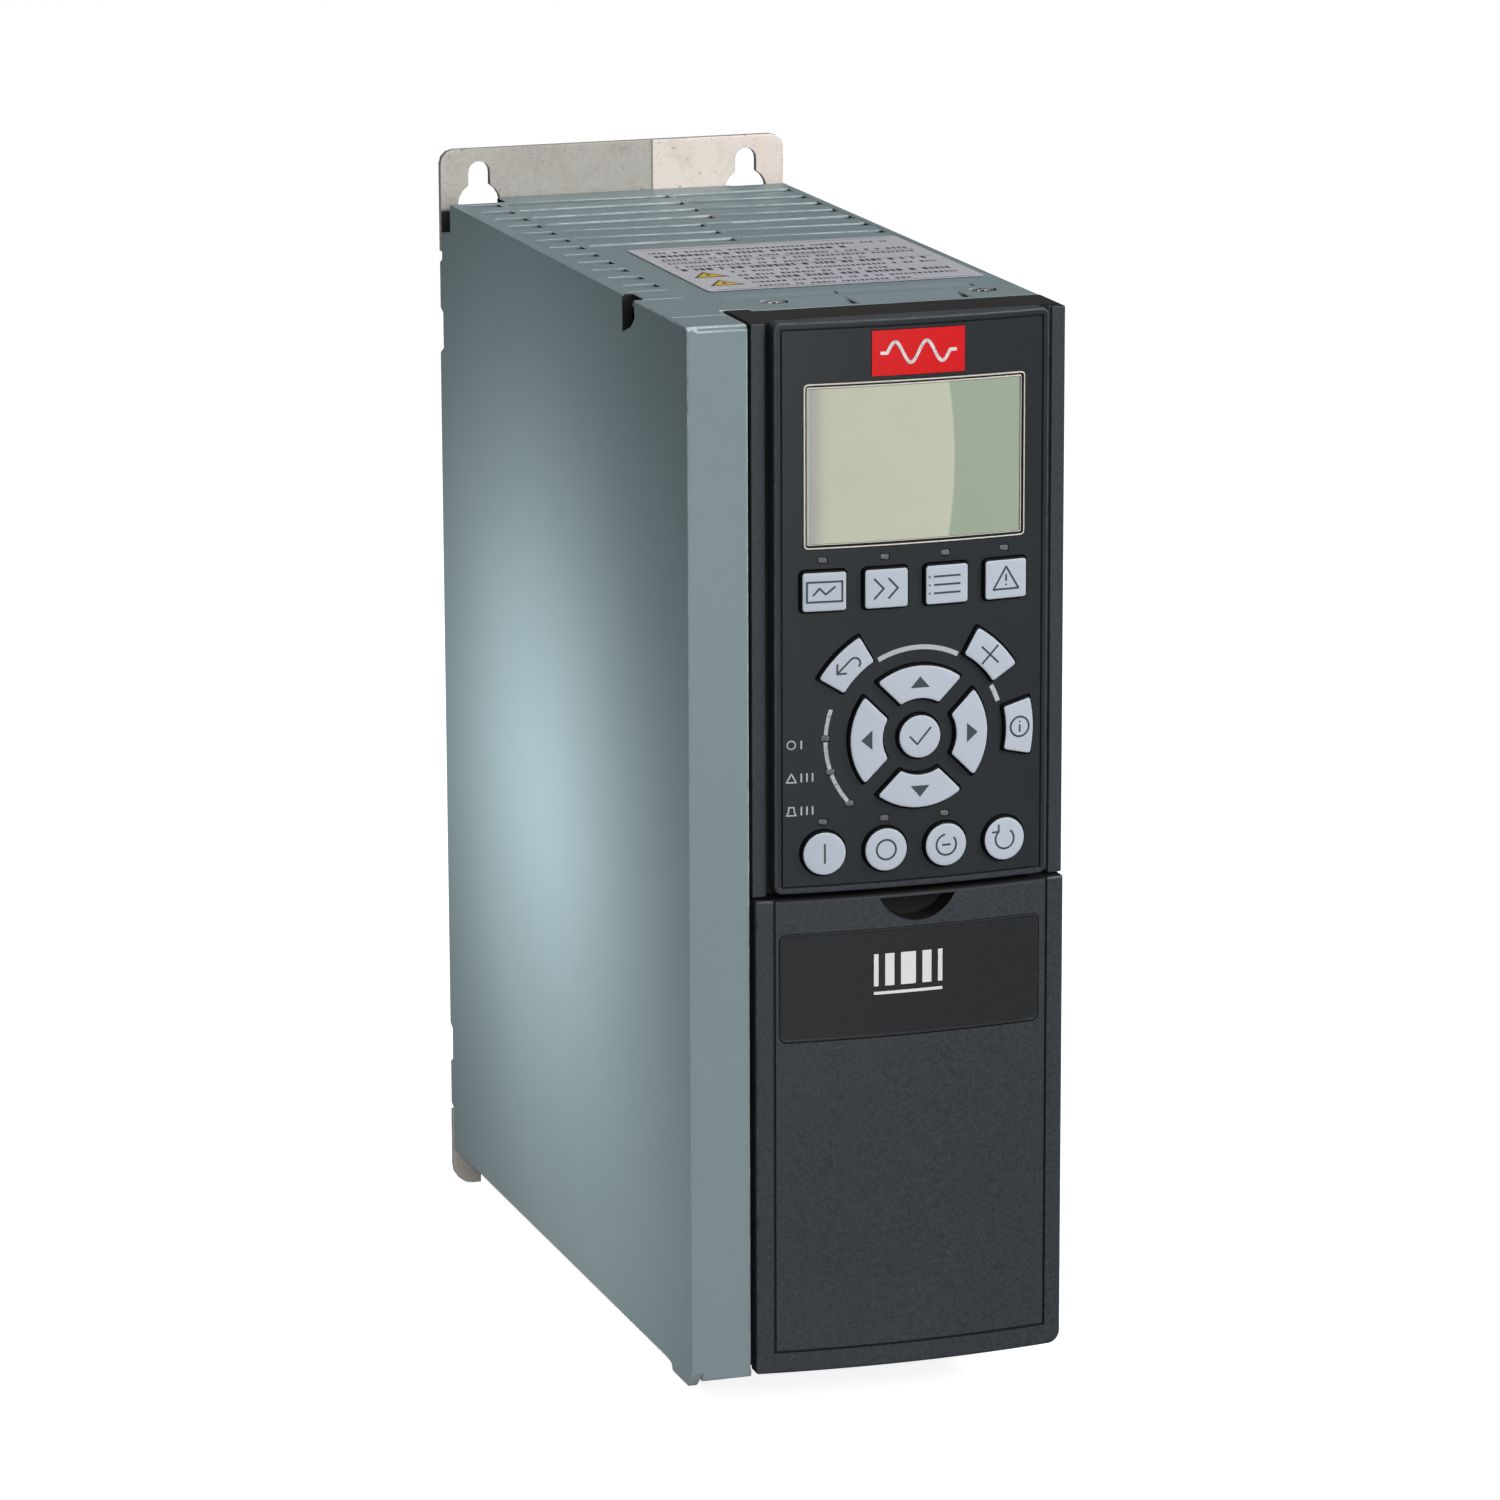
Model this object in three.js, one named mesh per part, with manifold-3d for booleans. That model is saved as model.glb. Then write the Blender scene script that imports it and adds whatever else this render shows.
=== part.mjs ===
// Variable frequency drive of the slim "bookshelf" kind, with a pull-out control panel.
//
// Millimetres, +X to the right, +Y into the wall, +Z up. The drive's front faces -Y. The origin is
// the centre of the steel mounting plate's back face, the face that lies against the wall.

import * as THREE from 'three';
import { mergeVertices } from 'three/addons/utils/BufferGeometryUtils.js';
import Module from 'manifold-3d';

const wasm = await Module();
wasm.setup();

// ---------------------------------------------------------------- driving dimensions

const BODY_WIDTH = 90;
const PLATE_HEIGHT = 268;
const BODY_DEPTH = 205.2;
const WALL = 2.5;
const GAP = 0.3;

// mounting plate
const PLATE_THICKNESS = 2;
const PLATE_ABOVE_BODY = 12.5;
const PLATE_BELOW_BODY = 9.5;
const HOLE_SPACING_X = 70;
const SLOT_WIDTH = 5.5;
const ENTRY_HOLE = 11;
const SLOT_FROM_TOP = 6;
const ENTRY_BELOW_SLOT = 8;
const SLOT_FROM_BOTTOM = 5;
const PLATE_CORNER = 3.5;
const FINGER_CORNER = 5;
const PLATE_EAR_TOP = 13;
const PLATE_EAR_BOTTOM = 10.5;

// housing
const STRIP_WIDTH = 14;
const STRIP_BEHIND_FRONT = 4.2;
const STRIP_RETURN = 9;
const SCREW_ROOM_LEFT = 10;
const SCREW_ROOM_RIGHT = 3.5;
const SCREW_ROOM_WIDTH = 14.5;
const SCREW_ROOM_HEIGHT = 8;
const BLACK_FRONT_DEPTH = 21;
const DECK_LIP = 7.5;
const LOUVRE_FIRST = 12.6;
const LOUVRE_PITCH = 11.65;
const LOUVRE_DEPTH = 1;
const LOUVRE_SLOT = 1.7;
const LOUVRE_RUN = 5;
const LONG_LOUVRES = 7;
const SHORT_LOUVRES = 12;
const LABEL_LENGTH = 63;
const LABEL_BEHIND_FRONT = 48;
const LABEL_THICKNESS = 0.2;
const FOOT_DROP = 2;
const FOOT_LENGTH = 15;

// control panel
const PANEL_HEIGHT = 131.4;
const PANEL_ABOVE_BODY = 0.2;
const PANEL_CORNER = 1.8;
const PANEL_WALL = 1.6;
const PANEL_SKIRT = 1.8;
const PANEL_SEAT = 6.5;
const PANEL_GAP = 0.4;
const TUB_INSET = 2.8;
const TUB_DEPTH = 12;
const RAIL_WIDTH = 3.3;
const RAIL_HEIGHT = 2.3;
const RAIL_GAP = 1.35;
const PANEL_WIDTH = BODY_WIDTH - STRIP_WIDTH - 1 - 2 * (RAIL_WIDTH + RAIL_GAP);
const FRAME_WALL = 2;
const BOARD_THICKNESS = 1.6;

// curved front of the panel and of the cover
const FRONT_CROWN = 2.194;
const FRONT_RADIUS = ((PANEL_WIDTH / 2) ** 2 + FRONT_CROWN ** 2) / (2 * FRONT_CROWN);
const FRONT_FACETS = 8;

// keys
const KEY_TRAVEL = 0.8;
const KEY_PROUD = 1.3;
const KEY_CLEARANCE = 0.4;
const KEY_FLANGE = 1;
const KEY_PITCH = 14.5;
const MENU_KEY_WIDTH = KEY_PITCH - 4;
const MENU_KEY_HEIGHT = 9.3;
const MENU_KEY_CORNER = 0.9;
const ROUND_KEY_RADIUS = KEY_PITCH / 2 - 2.1;
const ARROW_INNER = 8.7;
const ARROW_OUTER = 16.7;
const ARROW_SPACE = 4;
const OUTER_KEY_INNER = 21;
const OUTER_KEY_OUTER = 28.2;

// terminal cover
const COVER_THICKNESS = 2.2;
const COVER_GAP = 0.5;
const COVER_ABOVE_BOTTOM = 0.7;
const COVER_CORNER = 3;
const HINGE_BEHIND_FRONT = 11.2;
const HINGE_ABOVE_BOTTOM = 3.5;
const HINGE_PIN = 1.5;
const HINGE_EAR = 2.5;
const HINGE_CLEARANCE = 0.35;
const COVER_LABEL_HEIGHT = 25.5;
const NOTCH_WIDTH = 18.3;
const NOTCH_DEPTH = 5.8;

// inside
const FAN_SIZE = 60;
const FAN_THICKNESS = 25;
const FAN_HUB = 13;
const FAN_BLADES = 7;
const FAN_TIP_CLEARANCE = 0.9;
const FIN_THICKNESS = 1.6;
const FIN_COUNT = 16;
const SINK_DEPTH = 58;
const SINK_BASE = 8;
const CAPACITOR_RADIUS = 15;
const CAPACITOR_LENGTH = 48;
const MODULE_HEIGHT = 14.7;

// ---------------------------------------------------------------- places worked out from them

const RIGHT = BODY_WIDTH / 2;
const LEFT = -RIGHT;
const PLATE_TOP = PLATE_HEIGHT / 2;
const TOP = PLATE_TOP - PLATE_ABOVE_BODY;
const BOTTOM = -PLATE_TOP + PLATE_BELOW_BODY;
const FRONT = -BODY_DEPTH;
const PLATE_FRONT = -PLATE_THICKNESS;
const INNER_BACK = PLATE_FRONT - GAP;
const INNER_RIGHT = RIGHT - WALL - GAP;
const STRIP_FRONT = FRONT + STRIP_BEHIND_FRONT;
const BLACK_BACK = FRONT + BLACK_FRONT_DEPTH;
const FRAME_LEFT = LEFT + STRIP_WIDTH + 1;
const PANEL_X = (FRAME_LEFT + RIGHT) / 2;
const PANEL_TOP = TOP + PANEL_ABOVE_BODY;
const PANEL_BOTTOM = PANEL_TOP - PANEL_HEIGHT;
const PANEL_LEFT = PANEL_X - PANEL_WIDTH / 2;
const PANEL_RIGHT = PANEL_X + PANEL_WIDTH / 2;
const FRAME_FACE = FRONT + PANEL_SEAT;
const PANEL_BACK = FRAME_FACE - PANEL_GAP;
const FRAME_BOTTOM = PANEL_BOTTOM - 0.8;
const TUB_BACK = PANEL_BACK + TUB_DEPTH;
const POCKET_FLOOR = TUB_BACK + 0.5;
const COVER_TOP = FRAME_BOTTOM - COVER_GAP;
const COVER_BOTTOM = BOTTOM + COVER_ABOVE_BOTTOM;
const COVER_LEFT = FRAME_LEFT + 0.3;
const HINGE_Y = FRONT + HINGE_BEHIND_FRONT;
const HINGE_Z = BOTTOM + HINGE_ABOVE_BOTTOM;

// key field, from the panel's top edge
const MENU_KEY_Z = PANEL_TOP - 61.3;
const MENU_LIGHT_Z = PANEL_TOP - 54.3;
const RING_X = PANEL_X + 0.8;
const RING_Z = PANEL_TOP - 96.2;
const MODE_KEY_Z = PANEL_TOP - 122;
const MODE_LIGHT_Z = PANEL_TOP - 114.9;
const WINDOW = {
  x0: PANEL_X - 26.2, x1: PANEL_X + 26.7, z0: PANEL_TOP - 51.7, z1: PANEL_TOP - 14, corner: 1,
};
const BADGE = {
  x0: PANEL_X - 10.4, x1: PANEL_X + 11.8, z0: PANEL_TOP - 12.95, z1: PANEL_TOP - 2.6, corner: 0.2,
};

// layers behind the panel's front, from its crown
const KEY_BACK = FRONT + 4.3;
const MAT_FRONT = KEY_BACK + KEY_TRAVEL + GAP;
const MAT_BACK = MAT_FRONT + 1.4;
const PANEL_BOARD_FRONT = MAT_BACK + GAP;
const PANEL_BOARD_BACK = PANEL_BOARD_FRONT + BOARD_THICKNESS;
const LIGHT_FRONT = KEY_BACK - 0.1;
const LCD_FRONT = KEY_BACK - 0.1;

// layers inside the body
const SINK_FRONT = INNER_BACK - SINK_DEPTH;
const POWER_BOARD_BACK = SINK_FRONT - GAP - MODULE_HEIGHT - GAP;
const POWER_BOARD_FRONT = POWER_BOARD_BACK - BOARD_THICKNESS;
const CONTROL_BOARD_FRONT = FRONT + 33.8;
const CONTROL_BOARD_BACK = CONTROL_BOARD_FRONT + BOARD_THICKNESS;
const CHASSIS_FRONT = CONTROL_BOARD_BACK + 28;
const TERMINAL_PLATE_FRONT = FRONT + 26.6;
const TERMINAL_PLATE_BACK = TERMINAL_PLATE_FRONT + FRAME_WALL;
const TERMINAL_PLATE_TOP = COVER_TOP - 1.5;
const TERMINAL_SHELF = TERMINAL_PLATE_TOP - 54;
const FAN_TOP = BOTTOM + WALL + GAP + FAN_THICKNESS;
const FAN_BOTTOM = FAN_TOP - FAN_THICKNESS;
const TRAY_RIM = 2;
const FAN_Y = INNER_BACK - GAP - TRAY_RIM - GAP - FAN_SIZE / 2;
const CHOKE_BOTTOM = FAN_TOP + 10;
const CHOKE_HEIGHT = 40;
const POWER_BOARD_BOTTOM = CHOKE_BOTTOM + CHOKE_HEIGHT + 4;

// ---------------------------------------------------------------- solids

const ALONG_X = new THREE.Matrix4().makeBasis(
  new THREE.Vector3(0, 1, 0), new THREE.Vector3(0, 0, 1), new THREE.Vector3(1, 0, 0));
const ALONG_Y = new THREE.Matrix4().makeBasis(
  new THREE.Vector3(1, 0, 0), new THREE.Vector3(0, 0, 1), new THREE.Vector3(0, -1, 0));
const ALONG_Z = new THREE.Matrix4();

// A closed solid from the corners and faces of a geometry.
function solid(geometry) {
  const bare = new THREE.BufferGeometry();
  bare.setAttribute('position', geometry.getAttribute('position'));
  bare.setIndex(geometry.getIndex());
  const merged = mergeVertices(bare, 1e-4);
  const corners = merged.getIndex().array;
  const kept = [];
  for (let i = 0; i < corners.length; i += 3) {
    const [a, b, c] = [corners[i], corners[i + 1], corners[i + 2]];
    if (a !== b && b !== c && c !== a) kept.push(a, b, c);
  }
  return new wasm.Manifold(new wasm.Mesh({
    numProp: 3,
    vertProperties: new Float32Array(merged.getAttribute('position').array),
    triVerts: new Uint32Array(kept),
  }));
}

// The geometry of a finished solid.
function geometryOf(shape) {
  const mesh = shape.getMesh();
  const geometry = new THREE.BufferGeometry();
  geometry.setAttribute('position', new THREE.BufferAttribute(mesh.vertProperties, 3));
  geometry.setIndex(new THREE.BufferAttribute(mesh.triVerts, 1));
  geometry.computeVertexNormals();
  return geometry;
}

function join(first, ...others) {
  return others.reduce((whole, piece) => whole.add(piece), first);
}

function cut(body, ...tools) {
  return tools.reduce((rest, tool) => rest.subtract(tool), body);
}

function sweep(outline, start, length, basis) {
  const shape = new THREE.Shape(outline.map(([a, b]) => new THREE.Vector2(a, b)));
  const geometry = new THREE.ExtrudeGeometry(shape, { depth: length, bevelEnabled: false });
  geometry.translate(0, 0, start);
  geometry.applyMatrix4(basis);
  return solid(geometry);
}

// An outline of [y, z] points from x0 to x1.
function alongX(outline, x0, x1) {
  return sweep(outline, x0, x1 - x0, ALONG_X);
}

// An outline of [x, z] points from y0 (front) to y1 (back).
function alongY(outline, y0, y1) {
  return sweep(outline, -y1, y1 - y0, ALONG_Y);
}

// An outline of [x, y] points from z0 to z1.
function alongZ(outline, z0, z1) {
  return sweep(outline, z0, z1 - z0, ALONG_Z);
}

function box(x0, x1, y0, y1, z0, z1) {
  const geometry = new THREE.BoxGeometry(x1 - x0, y1 - y0, z1 - z0);
  geometry.translate((x0 + x1) / 2, (y0 + y1) / 2, (z0 + z1) / 2);
  return solid(geometry);
}

// ---------------------------------------------------------------- outlines

function radians(degrees) {
  return degrees * Math.PI / 180;
}

function arc(x, z, radius, from, to, steps) {
  const points = [];
  for (let i = 0; i <= steps; i += 1) {
    const angle = radians(from + (to - from) * i / steps);
    points.push([x + radius * Math.cos(angle), z + radius * Math.sin(angle)]);
  }
  return points;
}

function circle(x, z, radius, sides = 16) {
  return arc(x, z, radius, 0, 360 - 360 / sides, sides - 1);
}

function rounded(x0, x1, z0, z1, corner, steps = 3) {
  return [
    ...arc(x1 - corner, z1 - corner, corner, 0, 90, steps),
    ...arc(x0 + corner, z1 - corner, corner, 90, 180, steps),
    ...arc(x0 + corner, z0 + corner, corner, 180, 270, steps),
    ...arc(x1 - corner, z0 + corner, corner, 270, 360, steps),
  ];
}

function rectangle(x0, x1, z0, z1) {
  return [[x0, z0], [x1, z0], [x1, z1], [x0, z1]];
}

function grown(frame, by) {
  const corner = Math.max(frame.corner + by, 0.1);
  return rounded(frame.x0 - by, frame.x1 + by, frame.z0 - by, frame.z1 + by, corner);
}

// A piece of a ring whose ends are pushed apart by `grow` on every side.
function ringPiece(inner, outer, from, to, grow = 0, inset = 0) {
  const spread = (radius) => Math.asin((grow - inset) / radius) * 180 / Math.PI;
  const big = outer + grow;
  const small = inner - grow;
  return [
    ...arc(RING_X, RING_Z, big, from - spread(big), to + spread(big), 6),
    ...arc(RING_X, RING_Z, small, to + spread(small), from - spread(small), 4),
  ];
}

// ---------------------------------------------------------------- the curved front

function frontDrop(x) {
  return FRONT_RADIUS - Math.sqrt(FRONT_RADIUS ** 2 - (x - PANEL_X) ** 2);
}

function curvedLine(offset) {
  const points = [];
  for (let i = 0; i <= FRONT_FACETS; i += 1) {
    const x = FRAME_LEFT - 1 + (RIGHT + 2 - FRAME_LEFT) * i / FRONT_FACETS;
    points.push([x, FRONT + offset + frontDrop(x)]);
  }
  return points;
}

// Everything behind the curved front moved back by `offset`.
function behindFront(offset) {
  const points = curvedLine(offset);
  points.push([RIGHT + 1, BLACK_BACK], [FRAME_LEFT - 1, BLACK_BACK]);
  return alongZ(points, BOTTOM - 5, PANEL_TOP + 5);
}

// The layer between two copies of the curved front.
function frontLayer(offset, thickness) {
  const points = [...curvedLine(offset), ...curvedLine(offset + thickness).reverse()];
  return alongZ(points, BOTTOM - 5, PANEL_TOP + 5);
}

function layerPiece(outline, offset, thickness) {
  return frontLayer(offset, thickness).intersect(alongY(outline, FRONT - 5, BLACK_BACK));
}

// ---------------------------------------------------------------- materials

function paint(color, roughness, metalness = 0) {
  return new THREE.MeshStandardMaterial({ color, roughness, metalness });
}

const GREY_PLASTIC = paint(0x8d9a9e, 0.45);
const BLACK_PLASTIC = paint(0x3c4046, 0.5);
const PANEL_PLASTIC = paint(0x3e4247, 0.48);
const KEY_PLASTIC = paint(0xbcc4cc, 0.5);
const GALVANISED = paint(0xa5a19a, 0.4, 0.9);
const ALUMINIUM = paint(0xb9bcc0, 0.35, 0.9);
const WINDOW_PLASTIC = paint(0xcfd3bd, 0.1);
const LCD_FACE = paint(0xb9bfa2, 0.4);
const RED_BADGE = paint(0xe80e14, 0.35);
const LABEL_FOIL = paint(0xd2d4dc, 0.35);
const DARK_LABEL = paint(0x2c2f33, 0.4);
const CIRCUIT_BOARD = paint(0x1f5a3a, 0.5);
const CAPACITOR_SLEEVE = paint(0x22252b, 0.35);
const MODULE_PLASTIC = paint(0xd9d6cc, 0.5);
const COPPER = paint(0xb4683a, 0.35, 0.8);
const CORE_STEEL = paint(0x5c5f63, 0.5, 0.6);
const TERMINAL_GREEN = paint(0x3c8f58, 0.5);
const SILICONE = paint(0x4a4d50, 0.8);
const LIGHT_PIPE = paint(0x83878a, 0.25);
const STEEL = paint(0xb4b6b8, 0.3, 0.9);

function add(parent, name, shape, material) {
  const mesh = new THREE.Mesh(geometryOf(shape), material);
  mesh.name = name;
  parent.add(mesh);
}

// ---------------------------------------------------------------- mounting plate

function plateOutline() {
  const narrow = INNER_RIGHT;
  const earTop = TOP - PLATE_EAR_TOP;
  const earBottom = BOTTOM + PLATE_EAR_BOTTOM;
  const right = [
    ...arc(RIGHT - FINGER_CORNER, -PLATE_TOP + FINGER_CORNER, FINGER_CORNER, -90, 0, 4),
    [RIGHT, earBottom], [narrow, earBottom], [narrow, earTop], [RIGHT, earTop],
    ...arc(RIGHT - PLATE_CORNER, PLATE_TOP - PLATE_CORNER, PLATE_CORNER, 0, 90, 3),
  ];
  const left = right.map(([x, z]) => [-x, z]).reverse();
  return [...right, ...left];
}

function keyhole(x) {
  const slotZ = PLATE_TOP - SLOT_FROM_TOP;
  const entryZ = slotZ - ENTRY_BELOW_SLOT;
  const half = SLOT_WIDTH / 2;
  return [
    ...arc(x, slotZ, half, 0, 180, 8),
    ...arc(x, entryZ, ENTRY_HOLE / 2, 120, 420, 16),
  ];
}

function openSlot(x) {
  const half = SLOT_WIDTH / 2;
  const z = -PLATE_TOP + SLOT_FROM_BOTTOM;
  return [...arc(x, z, half, 0, 180, 8), [x - half, -PLATE_TOP - 1], [x + half, -PLATE_TOP - 1]];
}

function mountingPlate() {
  let plate = alongY(plateOutline(), PLATE_FRONT, 0);
  for (const x of [-HOLE_SPACING_X / 2, HOLE_SPACING_X / 2]) {
    plate = cut(plate, alongY(keyhole(x), PLATE_FRONT - 1, 1));
    plate = cut(plate, alongY(openSlot(x), PLATE_FRONT - 1, 1));
  }
  return plate;
}

// ---------------------------------------------------------------- housing

// The rear edge of a side wall, from the bottom up, with the tabs that pass the plate's edge.
function rearEdge() {
  const inset = INNER_BACK;
  const tabs = [[BOTTOM + 12.3, BOTTOM + 23], [BOTTOM + 33.5, TOP - 38.5], [TOP - 27, TOP - 16]];
  const points = [[inset, BOTTOM]];
  for (const [low, high] of tabs) {
    points.push([inset, low - 1.2], [0, low], [0, high], [inset, high + 1.2]);
  }
  return points;
}

function leftWallOutline() {
  const notch = FRONT + 52.2;
  return [
    ...rearEdge(),
    [INNER_BACK, TOP - SCREW_ROOM_HEIGHT],
    [-SCREW_ROOM_LEFT, TOP - SCREW_ROOM_HEIGHT],
    [-SCREW_ROOM_LEFT, TOP],
    [notch, TOP], [notch, TOP - 8.5], [notch - 6, TOP - 6.5], [notch - 9.3, TOP - 4],
    [notch - 8.5, TOP],
    [STRIP_FRONT + 1, TOP], [STRIP_FRONT, TOP - 1],
    [STRIP_FRONT, BOTTOM - FOOT_DROP + 4], [STRIP_FRONT + 4, BOTTOM - FOOT_DROP],
    [STRIP_FRONT + FOOT_LENGTH, BOTTOM - FOOT_DROP], [STRIP_FRONT + FOOT_LENGTH + 0.6, BOTTOM],
  ];
}

function rightWallOutline() {
  const front = BLACK_BACK;
  return [
    ...rearEdge(),
    [INNER_BACK, TOP - SCREW_ROOM_HEIGHT],
    [-SCREW_ROOM_RIGHT, TOP - SCREW_ROOM_HEIGHT], [-SCREW_ROOM_RIGHT, TOP],
    [front, TOP], [front, BOTTOM],
  ];
}

function topWall() {
  const back = INNER_BACK;
  const cornerX = PANEL_LEFT + 1.3;
  const outline = [
    [LEFT, -SCREW_ROOM_LEFT], [LEFT + SCREW_ROOM_WIDTH, -SCREW_ROOM_LEFT],
    [LEFT + SCREW_ROOM_WIDTH, back], [RIGHT - SCREW_ROOM_WIDTH, back],
    [RIGHT - SCREW_ROOM_WIDTH, -SCREW_ROOM_RIGHT], [RIGHT, -SCREW_ROOM_RIGHT],
    [RIGHT, BLACK_BACK], [cornerX, BLACK_BACK], [cornerX, BLACK_BACK + 3],
    [FRAME_LEFT - 0.7, BLACK_BACK + 3], [FRAME_LEFT - 0.7, STRIP_FRONT + 1], [LEFT, STRIP_FRONT + 1],
  ];
  const notch = FRONT + 52.2;
  const wall = alongZ(outline, TOP - WALL, TOP);
  return cut(wall, box(LEFT - 1, LEFT + WALL, notch - 9.3, notch, TOP - WALL - 1, TOP + 1));
}

// One louvre: a shallow ramp that deepens towards the back, and the slit under its rear edge.
function louvre(x0, x1, y) {
  const ramp = alongX([[y, TOP - LOUVRE_DEPTH], [y, TOP + 1], [y - LOUVRE_RUN, TOP + 1],
    [y - LOUVRE_RUN, TOP]], x0, x1);
  const slit = box(x0, x1, y - LOUVRE_SLOT, y, TOP - WALL - 1, TOP);
  return ramp.add(slit);
}

function louvres() {
  const pieces = [];
  for (let row = 0; row < SHORT_LOUVRES; row += 1) {
    const y = -LOUVRE_FIRST - row * LOUVRE_PITCH;
    pieces.push(louvre(LEFT + 4, LEFT + 11.7, y));
    if (row < LONG_LOUVRES) {
      const split = row < 4 ? PANEL_X + 3 : PANEL_X - 3;
      pieces.push(louvre(LEFT + 13.5, split, y), louvre(split + 1.5, RIGHT - 2.5, y));
    }
  }
  return pieces;
}

const DECK_SCREWS = [PANEL_X - 23, PANEL_X + 27.5];
const DECK_SCREW_Y = FRONT + 31.2;
const SCREW_HEAD = 2.9;

function deckPockets() {
  const y0 = BLACK_BACK + 2.2;
  const y1 = BLACK_BACK + 13.5;
  const ramp = [[y0, TOP - 1.2], [y0, TOP + 1], [y1, TOP + 1], [y1, TOP]];
  const step = [[y1 + 3, TOP - 0.7], [y1 + 3, TOP + 1], [y1 + 8, TOP + 1], [y1 + 8, TOP]];
  return [
    alongX(ramp, PANEL_X - 19, PANEL_X - 5.5),
    alongX(ramp, PANEL_X - 4.7, PANEL_X + 21.5),
    alongX(step, PANEL_X - 32, PANEL_X - 5),
    alongX(step, PANEL_X - 4.2, PANEL_X + 28),
  ];
}

function housingShell() {
  const returnX = FRAME_LEFT - 0.7;
  const shell = join(
    alongX(leftWallOutline(), LEFT, LEFT + WALL),
    alongX(rightWallOutline(), RIGHT - WALL, RIGHT),
    topWall(),
    box(LEFT, returnX, STRIP_FRONT, STRIP_FRONT + WALL, BOTTOM + 2, TOP - 1),
    box(returnX - WALL, returnX, STRIP_FRONT, STRIP_FRONT + STRIP_RETURN, BOTTOM + 2, TOP - WALL),
    box(LEFT + WALL, returnX, STRIP_FRONT, STRIP_FRONT + FOOT_LENGTH, BOTTOM, BOTTOM + WALL),
    box(PANEL_LEFT + 1.3, RIGHT - WALL, BLACK_BACK, BLACK_BACK + 2, TOP - DECK_LIP, TOP - WALL + 0.1),
  );
  const screwHoles = DECK_SCREWS.flatMap((x) => [
    alongZ(circle(x, DECK_SCREW_Y, 1.9, 16), TOP - WALL - 1, TOP + 1),
    alongZ(circle(x, DECK_SCREW_Y, SCREW_HEAD + 0.4, 20), TOP - 1.4, TOP + 1),
  ]);
  return cut(shell, ...louvres(), ...deckPockets(), ...screwHoles);
}

// A pan-head screw whose head lies just below the deck.
function deckScrew(x) {
  const seat = TOP - 1.4 + 0.05;
  const screw = join(
    alongZ(circle(x, DECK_SCREW_Y, SCREW_HEAD, 18), seat, TOP - 0.15),
    alongZ(circle(x, DECK_SCREW_Y, 1.45, 12), seat - 8, seat + 0.1),
  );
  const bar = 0.45;
  return cut(screw,
    box(x - bar, x + bar, DECK_SCREW_Y - 1.6, DECK_SCREW_Y + 1.6, TOP - 0.8, TOP + 1),
    box(x - 1.6, x + 1.6, DECK_SCREW_Y - bar, DECK_SCREW_Y + bar, TOP - 0.8, TOP + 1));
}

const LABEL = {
  x0: PANEL_X - 33, x1: RIGHT - 3, y0: FRONT + LABEL_BEHIND_FRONT,
  y1: FRONT + LABEL_BEHIND_FRONT + LABEL_LENGTH,
};

function ratingLabel() {
  return box(LABEL.x0, LABEL.x1, LABEL.y0, LABEL.y1, TOP + 0.05, TOP + 0.05 + LABEL_THICKNESS);
}

// ---------------------------------------------------------------- bottom tray

const TRAY_FRONT = HINGE_Y + 5;
const ENTRY_DEPTH = 32;
const CABLE_ENTRIES = [-1, 0, 1].map((side) => side * (INNER_RIGHT - 3) * 2 / 3);
const ENTRY_HALF = (INNER_RIGHT - 3) / 3 - 2;
const BRACKETS = [PANEL_X - 28.7, PANEL_X + 25.8];
const BRACKET_WIDTH = 2.9;

function hingeBracket(x) {
  const radius = HINGE_PIN + HINGE_CLEARANCE + 1.2;
  const arm = [
    ...arc(HINGE_Y, HINGE_Z, radius, 90, 270, 10),
    [HINGE_Y, HINGE_Z - 2.7], [TRAY_FRONT + 4, HINGE_Z - 2.7], [TRAY_FRONT + 4, HINGE_Z + radius],
  ];
  const hole = circle(HINGE_Y, HINGE_Z, HINGE_PIN + HINGE_CLEARANCE, 20);
  return cut(alongX(arm, x, x + BRACKET_WIDTH), alongX(hole, x - 1, x + BRACKET_WIDTH + 1));
}

function fanGuard() {
  const z0 = BOTTOM;
  const z1 = BOTTOM + WALL;
  const guard = [];
  for (const radius of [8, 15, 22]) {
    guard.push(cut(alongZ(circle(0, FAN_Y, radius), z0, z1),
      alongZ(circle(0, FAN_Y, radius - 1.8), z0 - 1, z1 + 1)));
  }
  guard.push(box(-FAN_SIZE / 2 + 1, FAN_SIZE / 2 - 1, FAN_Y - 0.9, FAN_Y + 0.9, z0, z1));
  guard.push(box(-0.9, 0.9, FAN_Y - FAN_SIZE / 2 + 1, FAN_Y + FAN_SIZE / 2 - 1, z0, z1));
  return guard;
}

function bottomTray() {
  const back = INNER_BACK - GAP;
  const front = Math.max(TRAY_FRONT, STRIP_FRONT + FOOT_LENGTH + GAP);
  const tray = box(-INNER_RIGHT, INNER_RIGHT, front, back, BOTTOM, BOTTOM + WALL);
  const entryFront = TRAY_FRONT + 6;
  const entries = CABLE_ENTRIES.map((x) => box(x - ENTRY_HALF, x + ENTRY_HALF,
    entryFront, entryFront + ENTRY_DEPTH, BOTTOM - 1, BOTTOM + WALL + 1));
  const fanHole = alongZ(circle(0, FAN_Y, FAN_SIZE / 2 - 1.6, 24), BOTTOM - 1, BOTTOM + WALL + 1);
  const rim = box(-INNER_RIGHT, INNER_RIGHT, back - TRAY_RIM, back, BOTTOM, BOTTOM + 2 * WALL);
  return join(cut(tray, fanHole, ...entries), rim, ...fanGuard(), ...BRACKETS.map(hingeBracket));
}

// ---------------------------------------------------------------- black front frame

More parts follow.
